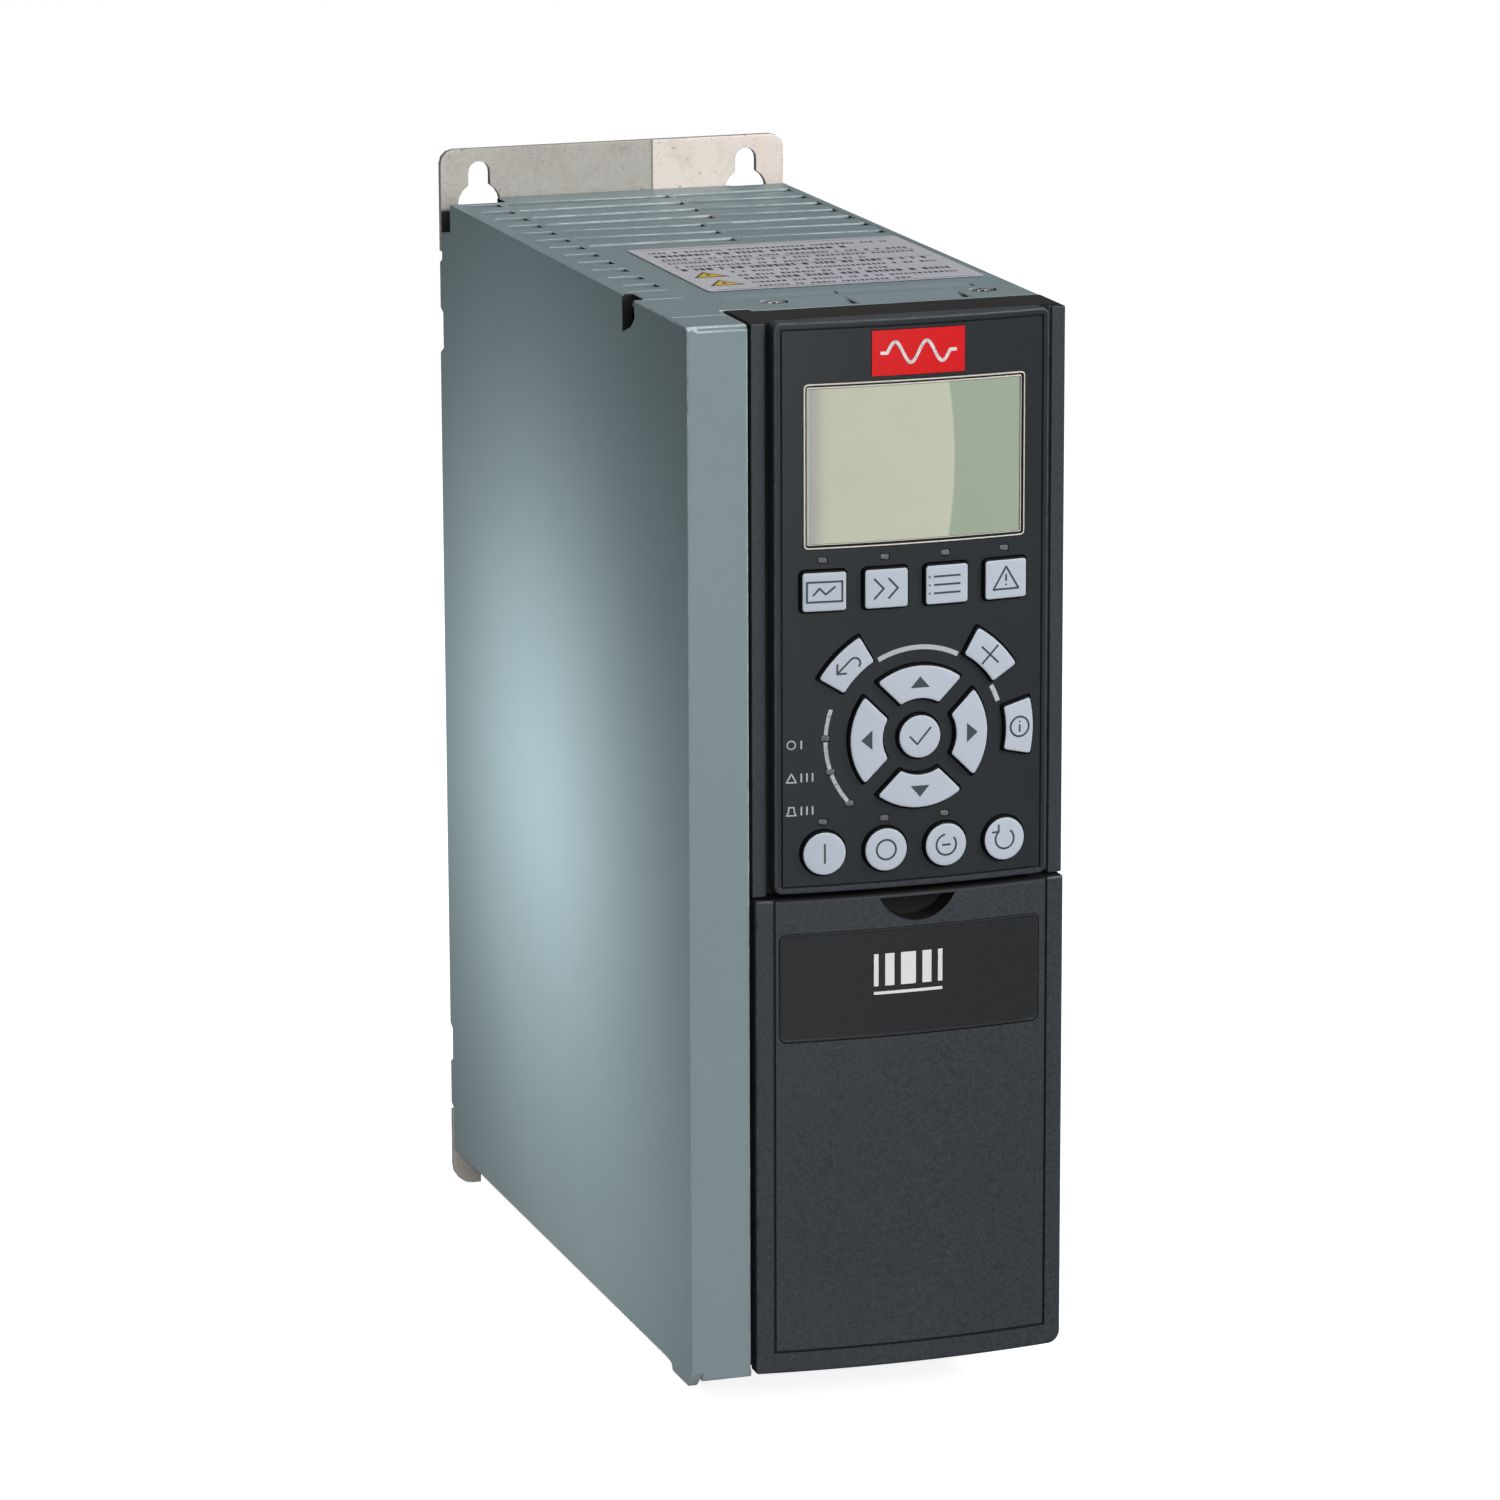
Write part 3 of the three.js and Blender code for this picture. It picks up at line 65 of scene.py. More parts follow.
PANEL_X = (BEZEL_LOW.x + BEZEL_HIGH.x) / 2
FRONT = BEZEL_LOW.y
PANEL_TOP = BEZEL_HIGH.z
PANEL_BACK = BEZEL_HIGH.y
FRONT_CROWN = 2.194
FRONT_RADIUS = ((BEZEL_HIGH.x - BEZEL_LOW.x) ** 2 / 4 + FRONT_CROWN ** 2) / (2 * FRONT_CROWN)
CROWN_STEP = 1.6
STILL_FROM = 6.1
PANEL_CORNER = 1.8
PANEL_WALL = 1.6
PANEL_SKIRT = 1.8
PANEL_RIM = 0.5
PANEL_BORDER = 1.6
GROOVE_INSET = 1.4
GROOVE_WIDTH = 0.45
GROOVE_DEPTH = 0.55
EDGE_SOFTNESS = 0.12
SOFT_DEPTH = 0.03
COVER_THICKNESS = 2.2
COVER_CORNER = 3
COVER_RIM = 0.7
COVER_SIDE = 2
COVER_WALL_BACK = FRONT + 7.9
COVER_LINE_X = 33
COVER_LINE_RISE = 5.2
COVER_LINE_HALF = 0.3
COVER_LINE_DEPTH = 0.5
LABEL_POCKET = 0.6
HINGE_Y = FRONT + 11.2
HINGE_Z = -121
HINGE_EAR = 2.5
HINGE_PIN = 1.5
BRACKET_WIDTH = 2.9

KEY_BACK = FRONT + 4.3
KEY_PROUD = 1.3
KEY_CLEARANCE = 0.4
KEY_FLANGE = 1
KEY_PITCH = 14.5
KEY_ROUND = 0.6
PAINTED_FROM_RING = 8
MENU_KEY_HALF = (5.25, 4.65)
MENU_KEY_CORNER = 0.9
ARROW_RING = (8.7, 16.7)
OUTER_RING = (21, 28.2)
LENS_HALF = (1.15, 0.8)
MENU_KEY_Z = PANEL_TOP - 61.3
MODE_KEY_Z = PANEL_TOP - 122
MENU_LIGHT_Z = PANEL_TOP - 54.3
MODE_LIGHT_Z = PANEL_TOP - 114.9
RING_X = PANEL_X + 0.8
RING_Z = PANEL_TOP - 96.2
ROUND_KEY_RADIUS = 5.15
LEGEND_Y = FRONT - KEY_PROUD - 0.02

WINDOW = (PANEL_X - 26.2, PANEL_X + 26.7, PANEL_TOP - 51.7, PANEL_TOP - 14)
BADGE = (PANEL_X - 10.4, PANEL_X + 11.8, PANEL_TOP - 12.95, PANEL_TOP - 2.6)
LABEL_ROWS = 11
LABEL_ROW_PITCH = 5.2
BOLD_ROWS = (2, 5, 9)
ROWS_BESIDE_TRIANGLES = 5
LATCH_NOTCH = (FRONT + 42.7, FRONT + 52.3, 9)
PLATE_TONE_STEP = 10.2 * MM
TERMINALS = {"control_terminals_left": 6, "control_terminals_right": 5, "relay_terminals": 6,
             "mains_terminals": 4, "brake_terminals": 2, "motor_terminals": 4}
BOARD_CELL = 6.4
FINGER_NOTCH_WIDTH = 18.3
FINGER_NOTCH_DEPTH = 5.8
COVER_LABEL = (PANEL_X - 31.8, PANEL_X + 31, COVER_HIGH.z - 33.7, COVER_HIGH.z - 8.2)


# ------------------------------------------------------------------ outlines in X and Z

def arc(x, z, radius, start, end, steps):
    points = []
    for i in range(steps + 1):
        angle = math.radians(start + (end - start) * i / steps)
        points.append((x + radius * math.cos(angle), z + radius * math.sin(angle)))
    return points


def circle(x, z, radius, sides=48):
    return arc(x, z, radius, 0, 360 - 360 / sides, sides - 1)


def rounded(x0, x1, z0, z1, corner, steps=6):
    corner = max(corner, 0.02)
    return (arc(x1 - corner, z1 - corner, corner, 0, 90, steps)
            + arc(x0 + corner, z1 - corner, corner, 90, 180, steps)
            + arc(x0 + corner, z0 + corner, corner, 180, 270, steps)
            + arc(x1 - corner, z0 + corner, corner, 270, 360, steps))


def grown(rectangle, corner, by):
    x0, x1, z0, z1 = rectangle
    return rounded(x0 - by, x1 + by, z0 - by, z1 + by, corner + by)


def turned(points, degrees, x=0, z=0):
    """The points turned anticlockwise about the origin, then moved to x, z."""
    c, s = math.cos(math.radians(degrees)), math.sin(math.radians(degrees))
    return [(x + a * c - b * s, z + a * s + b * c) for a, b in points]


def outward(before, here, after):
    """The two outward unit normals at a corner of an anticlockwise outline."""
    first = Vector((here[0] - before[0], here[1] - before[1])).normalized()
    second = Vector((after[0] - here[0], after[1] - here[1])).normalized()
    return Vector((first.y, -first.x)), Vector((second.y, -second.x))


def round_cornered(points, radius, steps=5):
    """An anticlockwise outline pushed out by radius, with arcs at its sharp convex corners."""
    made = []
    for i, here in enumerate(points):
        one, two = outward(points[i - 1], here, points[(i + 1) % len(points)])
        turn = math.atan2(one.x * two.y - one.y * two.x, one.dot(two))
        if turn > math.radians(35):
            start = math.degrees(math.atan2(one.y, one.x))
            made += arc(here[0], here[1], radius, start, start + math.degrees(turn), steps)
        else:
            mid = (one + two).normalized() * radius / max(math.cos(turn / 2), 0.5)
            made.append((here[0] + mid.x, here[1] + mid.y))
    return made


def ring_piece(inner, outer, start, end, by=0, inset=0, corner=0.6):
    """A rounded piece of the ring round the middle key, pushed out by `by` on every side."""
    grow = by - corner

    def spread(radius):
        return math.degrees(math.asin((grow - inset) / radius))

    big, small = outer + grow, inner - grow
    bare = (arc(RING_X, RING_Z, big, start - spread(big), end + spread(big), 14)
            + arc(RING_X, RING_Z, small, end + spread(small), start - spread(small), 10))
    return round_cornered(bare, corner)


def ribbon(points, width, closed=False):
    """A strip of even width along a line: a list of four-cornered outlines."""
    strips = []
    count = len(points)
    for i in range(count if closed else count - 1):
        a, b = Vector(points[i]), Vector(points[(i + 1) % count])
        along = (b - a).normalized()
        side = Vector((along.y, -along.x)) * width / 2
        reach = along * width / 4
        corners = (a - reach - side, b + reach - side, b + reach + side, a - reach + side)
        strips.append([tuple(c) for c in reversed(corners)])
    return strips


# ------------------------------------------------------------------ mesh making

def add_rings(bm, rings, close_start=True, close_end=True, material=0):
    """Joins rings of points, each with the same count, into one skin."""
    levels = [[bm.verts.new(point) for point in ring] for ring in rings]
    count = len(levels[0])
    for low, high in zip(levels, levels[1:]):
        for i in range(count):
            j = (i + 1) % count
            bm.faces.new((low[i], low[j], high[j], high[i])).material_index = material
    if close_start:
        bm.faces.new(list(reversed(levels[0]))).material_index = material
    if close_end:
        bm.faces.new(levels[-1]).material_index = material
    return levels


def stand(outline, y):
    return [(x, y, z) for x, z in outline]


def rolled_edge(radius, face):
    """Growths and depths along a quarter circle, from a side wall to the face in front of it."""
    turns = [math.radians(18 * i) for i in range(1, 6)]
    return [(-radius * (1 - math.cos(a)), face + radius * (1 - math.sin(a))) for a in turns]


def prism(bm, outline, y0, y1, material=0):
    """An anticlockwise outline from the back y1 to the front y0."""
    return add_rings(bm, [stand(outline, y1), stand(outline, y0)], material=material)


def block(bm, x0, x1, y0, y1, z0, z1, material=0):
    prism(bm, [(x0, z0), (x1, z0), (x1, z1), (x0, z1)], y0, y1, material)


def lathe(bm, profile, centre, axis, sides=48, material=0):
    """Turns (radius, height) pairs about an axis: 'x', 'y' or 'z'."""
    spots = {"x": lambda u, v, h: (h, u, v), "y": lambda u, v, h: (u, h, v),
             "z": lambda u, v, h: (u, v, h)}[axis]
    rings = []
    for radius, height in profile:
        ring = []
        for i in range(sides):
            angle = 2 * math.pi * i / sides
            u, v = radius * math.cos(angle), radius * math.sin(angle)
            ring.append(Vector(spots(u, v, height)) + Vector(centre))
        rings.append(ring)
    add_rings(bm, rings, material=material)


def finished(name, bm, materials):
    """A mesh object in metres, linked to the scene."""
    bmesh.ops.remove_doubles(bm, verts=bm.verts, dist=1e-5)
    bmesh.ops.recalc_face_normals(bm, faces=bm.faces)
    bmesh.ops.scale(bm, vec=(MM, MM, MM), verts=bm.verts)
    mesh = bpy.data.meshes.new(name)
    bm.to_mesh(mesh)
    bm.free()
    obj = bpy.data.objects.new(name, mesh)
    bpy.context.scene.collection.objects.link(obj)
    for material in materials:
        mesh.materials.append(material)
    return obj


def settle(obj):
    """Turns an object's modifiers into its mesh."""
    bpy.context.view_layer.update()
    graph = bpy.context.evaluated_depsgraph_get()
    mesh = bpy.data.meshes.new_from_object(obj.evaluated_get(graph))
    obj.modifiers.clear()
    old, obj.data = obj.data, mesh
    bpy.data.meshes.remove(old)
    return obj


def carve(obj, bm, operation="DIFFERENCE"):
    """Cuts the shapes in bm out of obj, or joins them to it."""
    tool = finished("tool", bm, [])
    change = obj.modifiers.new("cut", "BOOLEAN")
    change.operation = operation
    change.solver = "EXACT"
    change.use_self = True
    change.object = tool
    settle(obj)
    bpy.data.objects.remove(tool)
    return obj


def soften(obj, width, segments=2, angle=40):
    """Rounds the edges that turn by more than `angle` degrees."""
    change = obj.modifiers.new("round", "BEVEL")
    change.width = width * MM
    change.segments = segments
    change.limit_method = "ANGLE"
    change.angle_limit = math.radians(angle)
    change.miter_outer = "MITER_ARC"
    change.use_clamp_overlap = True
    return settle(obj)


def smooth(obj, square_faces_flat=False):
    """Smooth shading that keeps the flat faces flat."""
    obj.data.shade_smooth()
    if square_faces_flat:
        for polygon in obj.data.polygons:
            polygon.use_smooth = max(abs(part) for part in polygon.normal) < 0.9999
    change = obj.modifiers.new("normals", "WEIGHTED_NORMAL")
    change.keep_sharp = True
    change.weight = 100
    return settle(obj)


def welded(obj):
    """Merges the corners that neighbouring faces don't share."""
    bm = bmesh.new()
    bm.from_mesh(obj.data)
    bmesh.ops.remove_doubles(bm, verts=bm.verts, dist=2e-6)
    bm.to_mesh(obj.data)
    bm.free()
    return obj


def round_edges(obj, width, segments=2, shortest=0.0, angle=40):
    """Rounds the outward edges at least `shortest` long, on a mesh of triangles."""
    bm = bmesh.new()
    bm.from_mesh(obj.data)
    chosen = [edge for edge in bm.edges if len(edge.link_faces) == 2
              and edge.calc_face_angle_signed() > math.radians(angle)
              and edge.calc_length() > shortest * MM]
    bmesh.ops.bevel(bm, geom=chosen, offset=width * MM, segments=segments, affect="EDGES",
                    profile=0.5, clamp_overlap=False, loop_slide=True)
    bm.to_mesh(obj.data)
    bm.free()
    return obj


def show(obj, body, slot, *nodes):
    """Makes a finished object ride on a body and stand for CAD nodes."""
    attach(obj, body)
    if nodes:
        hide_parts(*nodes)
    return obj


def paint_faces(obj, index, chosen):
    """Gives the faces for which chosen(centre in mm, normal) holds another of the materials."""
    for polygon in obj.data.polygons:
        if chosen(polygon.center / MM, polygon.normal):
            polygon.material_index = index


def copy_of(node, name, material):
    """A new object with the shape of a CAD node."""
    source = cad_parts[node]
    mesh = source.data.copy()
    mesh.materials.clear()
    mesh.materials.append(material)
    for polygon in mesh.polygons:
        polygon.material_index = 0
    if mesh.has_custom_normals:
        mesh.attributes.remove(mesh.attributes["custom_normal"])
    obj = bpy.data.objects.new(name, mesh)
    bpy.context.scene.collection.objects.link(obj)
    return welded(obj)


def refined(node, material, body, slot, width):
    """A CAD node's shape with rounded edges and a finish of its own."""
    obj = copy_of(node, node + "_shape", material)
    round_edges(obj, width)
    smooth(obj)
    return show(obj, body, slot, node)


# ------------------------------------------------------------------ the curved front

def front_drop(x):
    return FRONT_RADIUS - math.sqrt(FRONT_RADIUS ** 2 - (x - PANEL_X) ** 2)


def crown(obj, flat_until=2.6):
    """Bends a flat-fronted object round the front's curve. What lies deep behind stays put."""
    bm = bmesh.new()
    bm.from_mesh(obj.data)
    xs = [v.co.x / MM for v in bm.verts]
    cuts = int((max(xs) - min(xs)) / CROWN_STEP)
    for i in range(1, cuts):
        x = (min(xs) + (max(xs) - min(xs)) * i / cuts) * MM
        whole = list(bm.verts) + list(bm.edges) + list(bm.faces)
        bmesh.ops.bisect_plane(bm, geom=whole, dist=1e-7, plane_co=(x, 0, 0), plane_no=(1, 0, 0))
    for vert in bm.verts:
        depth = vert.co.y / MM - FRONT
        share = min(max((STILL_FROM - depth) / (STILL_FROM - flat_until), 0), 1)
        vert.co.y += front_drop(vert.co.x / MM) * share * MM
    bm.to_mesh(obj.data)
    bm.free()
    return obj


# ------------------------------------------------------------------ node kit

def put(tree, kind, inputs=None, **settings):
    """One node. Inputs are values or the sockets that feed them."""
    made = tree.nodes.new("ShaderNode" + kind)
    for key, value in settings.items():
        setattr(made, key, value)
    for key, value in (inputs or {}).items():
        if isinstance(value, bpy.types.NodeSocket):
            tree.links.new(value, made.inputs[key])
        else:
            made.inputs[key].default_value = value
    return made


def blended(tree, factor, a, b):
    """A colour between a and b."""
    return put(tree, "Mix", {0: factor, 6: a, 7: b}, data_type="RGBA").outputs[2]


def maths(tree, operation, *values):
    made = put(tree, "Math", dict(enumerate(values)), operation=operation)
    return made.outputs[0]


def ranged(tree, value, low, high, to_low=0.0, to_high=1.0, smoothly=False):
    kind = "SMOOTHSTEP" if smoothly else "LINEAR"
    made = put(tree, "MapRange", {0: value, 1: low, 2: high, 3: to_low, 4: to_high},
               interpolation_type=kind)
    return made.outputs[0]


def object_place(tree):
    return put(tree, "TexCoord").outputs["Object"]


def cloud(tree, vector, scale, detail=3.0, roughness=0.5):
    made = put(tree, "TexNoise", {"Vector": vector, "Scale": scale, "Detail": detail,
                                  "Roughness": roughness})
    return made.outputs["Fac"]


def group(name, inputs, outputs):
    """An empty node group with its in and out nodes."""
    tree = bpy.data.node_groups.new(name, "ShaderNodeTree")
    kinds = {"value": "NodeSocketFloat", "colour": "NodeSocketColor", "vector": "NodeSocketVector"}
    for label, (kind, default) in inputs.items():
        socket = tree.interface.new_socket(label, in_out="INPUT", socket_type=kinds[kind])
        socket.default_value = default
    for label, kind in outputs.items():
        tree.interface.new_socket(label, in_out="OUTPUT", socket_type=kinds[kind])
    return tree, tree.nodes.new("NodeGroupInput"), tree.nodes.new("NodeGroupOutput")


def use(tree, shared, **inputs):
    """A shared group placed in a material, with its own values."""
    made = put(tree, "Group", node_tree=shared)
    for key, value in inputs.items():
        label = key.replace("_", " ")
        if isinstance(value, bpy.types.NodeSocket):
            tree.links.new(value, made.inputs[label])
        else:
            made.inputs[label].default_value = value
    return made


def linear(red, green, blue):
    """A linear colour from an everyday 0 to 255 one."""
    made = [((c / 255 + 0.055) / 1.055) ** 2.4 if c > 10 else c / 255 / 12.92
            for c in (red, green, blue)]
    return (*made, 1.0)


# ------------------------------------------------------------------ effects shared by materials

def moulded_grain_group():
    """The fine texture of a spark-eroded mould: a normal, and a speckle that follows it."""
    tree, start, end = group(
        "moulded_grain", {"Size": ("value", 0.5), "Depth": ("value", 0.1)},
        {"Normal": "vector", "Speckle": "value"})
    where = object_place(tree)
    density = maths(tree, "DIVIDE", 1 / MM, start.outputs["Size"])
    fine = cloud(tree, where, density, 4.0, 0.65)
    coarse = cloud(tree, where, maths(tree, "MULTIPLY", density, 0.31), 2.0)
    height = maths(tree, "ADD", maths(tree, "MULTIPLY", fine, 0.7),
                   maths(tree, "MULTIPLY", coarse, 0.3))
    raised = put(tree, "Bump", {"Strength": 1.0, "Distance": maths(
        tree, "MULTIPLY", start.outputs["Depth"], MM), "Height": height})
    tree.links.new(raised.outputs[0], end.inputs["Normal"])
    tree.links.new(ranged(tree, fine, 0.3, 0.7), end.inputs["Speckle"])
    return tree


def colour_drift_group():
    """Slow, soft changes of shade over a surface, and a finer mottle."""
    tree, start, end = group(
        "colour_drift", {"Color": ("colour", (1, 1, 1, 1)), "Size": ("value", 40.0),
                         "Amount": ("value", 0.05)},
        {"Color": "colour", "Drift": "value"})
    where = object_place(tree)
    density = maths(tree, "DIVIDE", 1 / MM, start.outputs["Size"])
    slow = cloud(tree, where, density, 2.0)
    quick = cloud(tree, where, maths(tree, "MULTIPLY", density, 9.0), 3.0)
    both = maths(tree, "ADD", maths(tree, "MULTIPLY", slow, 0.7), maths(tree, "MULTIPLY", quick, 0.3))
    swing = ranged(tree, both, 0.3, 0.7, -1.0, 1.0)
    level = maths(tree, "ADD", 1.0, maths(tree, "MULTIPLY", swing, start.outputs["Amount"]))
    shade = put(tree, "HueSaturation", {"Value": level, "Color": start.outputs["Color"]})
    tree.links.new(shade.outputs[0], end.inputs["Color"])
    tree.links.new(both, end.inputs["Drift"])
    return tree


def edge_wear_and_highlight_group():
    """A mask of the rounded edges, where the surface faces no axis squarely, broken up by a noise:
    partly rubbed wear, partly a painted highlight that every rounded edge gets whatever the light.
    """
    tree, start, end = group(
        "edge_wear_and_highlight", {"Amount": ("value", 0.5), "Break": ("value", 3.0)}, {"Mask": "value"})
    normal = put(tree, "NewGeometry").outputs["Normal"]
    parts = put(tree, "SeparateXYZ", {0: put(tree, "VectorMath", {0: normal},
                                             operation="ABSOLUTE").outputs[0]})
    squarest = maths(tree, "MAXIMUM", parts.outputs[0],
                     maths(tree, "MAXIMUM", parts.outputs[1], parts.outputs[2]))
    edge = ranged(tree, squarest, 0.97, 0.8, smoothly=True)
    density = maths(tree, "DIVIDE", 1 / MM, start.outputs["Break"])
    broken = ranged(tree, cloud(tree, object_place(tree), density, 4.0), 0.25, 0.6)
    mask = maths(tree, "MULTIPLY", maths(tree, "MULTIPLY", edge, broken), start.outputs["Amount"])
    tree.links.new(mask, end.inputs["Mask"])
    return tree


def settled_dust_group():
    """A mask of the faint dust on faces that look up, and of smears on the rest."""
    tree, start, end = group("settled_dust", {"Amount": ("value", 0.3)}, {"Mask": "value"})
    where = object_place(tree)
    up = put(tree, "SeparateXYZ", {0: put(tree, "NewGeometry").outputs["Normal"]}).outputs[2]
    lying = ranged(tree, up, 0.2, 1.0, smoothly=True)
    patchy = ranged(tree, cloud(tree, where, 60.0, 6.0, 0.7), 0.35, 0.75)
    smears = ranged(tree, cloud(tree, where, 18.0, 4.0, 0.6), 0.5, 0.8, 0.0, 0.35)
    both = maths(tree, "ADD", maths(tree, "MULTIPLY", lying, patchy), smears)
    tree.links.new(maths(tree, "MULTIPLY", both, start.outputs["Amount"]), end.inputs["Mask"])
    return tree


def drawn_lines_group():
    """Fine parallel lines left by rolling or by drawing a profile, along Z."""
    tree, start, end = group(
        "drawn_lines", {"Size": ("value", 0.4), "Depth": ("value", 0.02)},
        {"Normal": "vector", "Lines": "value"})
    stretched = put(tree, "VectorMath", {0: object_place(tree), 1: (1.0, 1.0, 0.02)},
                    operation="MULTIPLY").outputs[0]
    density = maths(tree, "DIVIDE", 1 / MM, start.outputs["Size"])
    lines = cloud(tree, stretched, density, 4.0, 0.6)
    raised = put(tree, "Bump", {"Strength": 1.0, "Distance": maths(
        tree, "MULTIPLY", start.outputs["Depth"], MM), "Height": lines})
    tree.links.new(raised.outputs[0], end.inputs["Normal"])
    tree.links.new(ranged(tree, lines, 0.3, 0.7), end.inputs["Lines"])
    return tree


GRAIN = moulded_grain_group()
DRIFT = colour_drift_group()
# EDGES: rubbed wear and a painted highlight on rounded edges
EDGES = edge_wear_and_highlight_group()
DUST = settled_dust_group()
LINES = drawn_lines_group()
DUST_COLOUR = linear(196, 196, 190)


# ------------------------------------------------------------------ materials

def new_material(name):
    material = bpy.data.materials.new(name)
    material.use_nodes = True
    return material, material.node_tree


def dressed(material, colour, roughness, normal, **levels):
    """Feeds a material's shader, and sets the inputs that are the same all over the surface."""
    tree = material.node_tree
    shader = tree.nodes["Principled BSDF"]
    for label, socket in (("Base Color", colour), ("Roughness", roughness), ("Normal", normal)):
        tree.links.new(socket, shader.inputs[label])
    for label, level in levels.items():
        shader.inputs[label.replace("_", " ")].default_value = level
    return material


def moulded(name, colour, roughness, size=0.5, depth=0.04, drift=0.06, edge=0.25,
            edge_wear_and_highlight_colour=None, dust=0.1, coat=0.0, speckle=0.08):
    """Moulded plastic: grain, shade drift, paler edges that are partly rubbed wear and partly a painted
    highlight, and a little dust.
    """
    material, tree = new_material(name)
    grain = use(tree, GRAIN, Size=size, Depth=depth)
    base = use(tree, DRIFT, Color=colour, Size=45.0, Amount=drift).outputs["Color"]
    level = ranged(tree, grain.outputs["Speckle"], 0.0, 1.0, 1.0 - speckle, 1.0 + speckle)
    base = put(tree, "HueSaturation", {"Value": level, "Color": base}).outputs[0]
    # paler colour on rounded edges: partly rubbed wear, partly a painted highlight
    paler = edge_wear_and_highlight_colour or tuple(min(1.0, c * 1.9 + 0.01) for c in colour[:3]) + (1.0,)
    base = blended(tree, use(tree, EDGES, Amount=edge).outputs["Mask"], base, paler)
    dusty = use(tree, DUST, Amount=dust).outputs["Mask"]
    base = blended(tree, dusty, base, DUST_COLOUR)
    rough = ranged(tree, grain.outputs["Speckle"], 0.0, 1.0, roughness - 0.05, roughness + 0.06)
    rough = maths(tree, "ADD", rough, maths(tree, "MULTIPLY", dusty, 0.3))
    return dressed(material, base, rough, grain.outputs["Normal"], Coat_Weight=coat,
                   Coat_Roughness=0.25)


def metal(name, colour, dark, roughness):
    """Bare drawn or rolled metal with darker patches and fine lines."""
    material, tree = new_material(name)
    drawn = use(tree, LINES, Size=0.4, Depth=0.01)
    patches = use(tree, DRIFT, Color=colour, Size=14.0, Amount=0.12)
    base = blended(tree, ranged(tree, drawn.outputs["Lines"], 0.0, 1.0, 0.0, 0.45),
                   patches.outputs["Color"], dark)
    rough = ranged(tree, patches.outputs["Drift"], 0.3, 0.7, roughness - 0.08, roughness + 0.1)
    return dressed(material, base, rough, drawn.outputs["Normal"], Metallic=1.0)


def galvanised():
    """Zinc-coated steel: crystals of several greys and brown stains; on the front, a paler right part
    with fewer crystals, a painted shadow line along its left edge, and a patch of painted near-black
    shade at the upper left.
    """
    material, tree = new_material("galvanised_steel")
    where = object_place(tree)
    crystals = put(tree, "TexVoronoi", {"Vector": where, "Scale": 1300.0, "Randomness": 1.0})
    shade = put(tree, "SeparateColor", {0: crystals.outputs["Color"]}).outputs[0]
    stains = cloud(tree, where, 90.0, 9.0, 0.8)
    specks = cloud(tree, where, 900.0, 2.0, 0.5)
    spot = put(tree, "SeparateXYZ", {0: where})
    across, height = spot.outputs[0], spot.outputs[2]
    facing = put(tree, "SeparateXYZ", {0: put(tree, "NewGeometry").outputs["Normal"]}).outputs[1]
    in_front = ranged(tree, facing, -0.6, -0.9)
    right = maths(tree, "MULTIPLY", in_front, ranged(tree, across, PLATE_TONE_STEP, PLATE_TONE_STEP + 0.0004))
    # painted shadow line along the left edge of the paler right part
    painted_shadow_line = maths(tree, "MULTIPLY", in_front, ranged(tree, maths(
        tree, "ABSOLUTE", maths(tree, "SUBTRACT", across, PLATE_TONE_STEP)), 0.0003, 0.0001))
    base = blended(tree, right, linear(198, 194, 186), linear(255, 242, 232))
    crystal_share = ranged(tree, right, 0.0, 1.0, 0.3, 0.12)
    base = blended(tree, maths(tree, "MULTIPLY", shade, crystal_share), base, linear(150, 146, 138))
    base = blended(tree, ranged(tree, stains, 0.5, 0.68, 0.0, 0.35), base, linear(136, 124, 112))
    base = blended(tree, ranged(tree, specks, 0.68, 0.74, 0.0, 0.6), base, linear(84, 74, 66))
    base = blended(tree, maths(tree, "MULTIPLY", painted_shadow_line, 0.7), base, linear(84, 78, 70))
    # painted shade: a near-black patch at the upper left of the front
    behind = maths(tree, "MULTIPLY", ranged(tree, height, 0.1195, 0.1185),
                   ranged(tree, height, 0.1, 0.108, smoothly=True))
    behind = maths(tree, "MULTIPLY", behind, ranged(tree, across, -0.0405, -0.0415))
    base = blended(tree, maths(tree, "MULTIPLY", behind, in_front), base, linear(22, 23, 24))
    rough = ranged(tree, maths(tree, "ADD", shade, stains), 0.4, 1.5, 0.34, 0.58)
    bump = put(tree, "Bump", {"Strength": 0.5, "Distance": 0.02 * MM, "Height": stains})
    return dressed(material, base, rough, bump.outputs[0], Metallic=0.3)


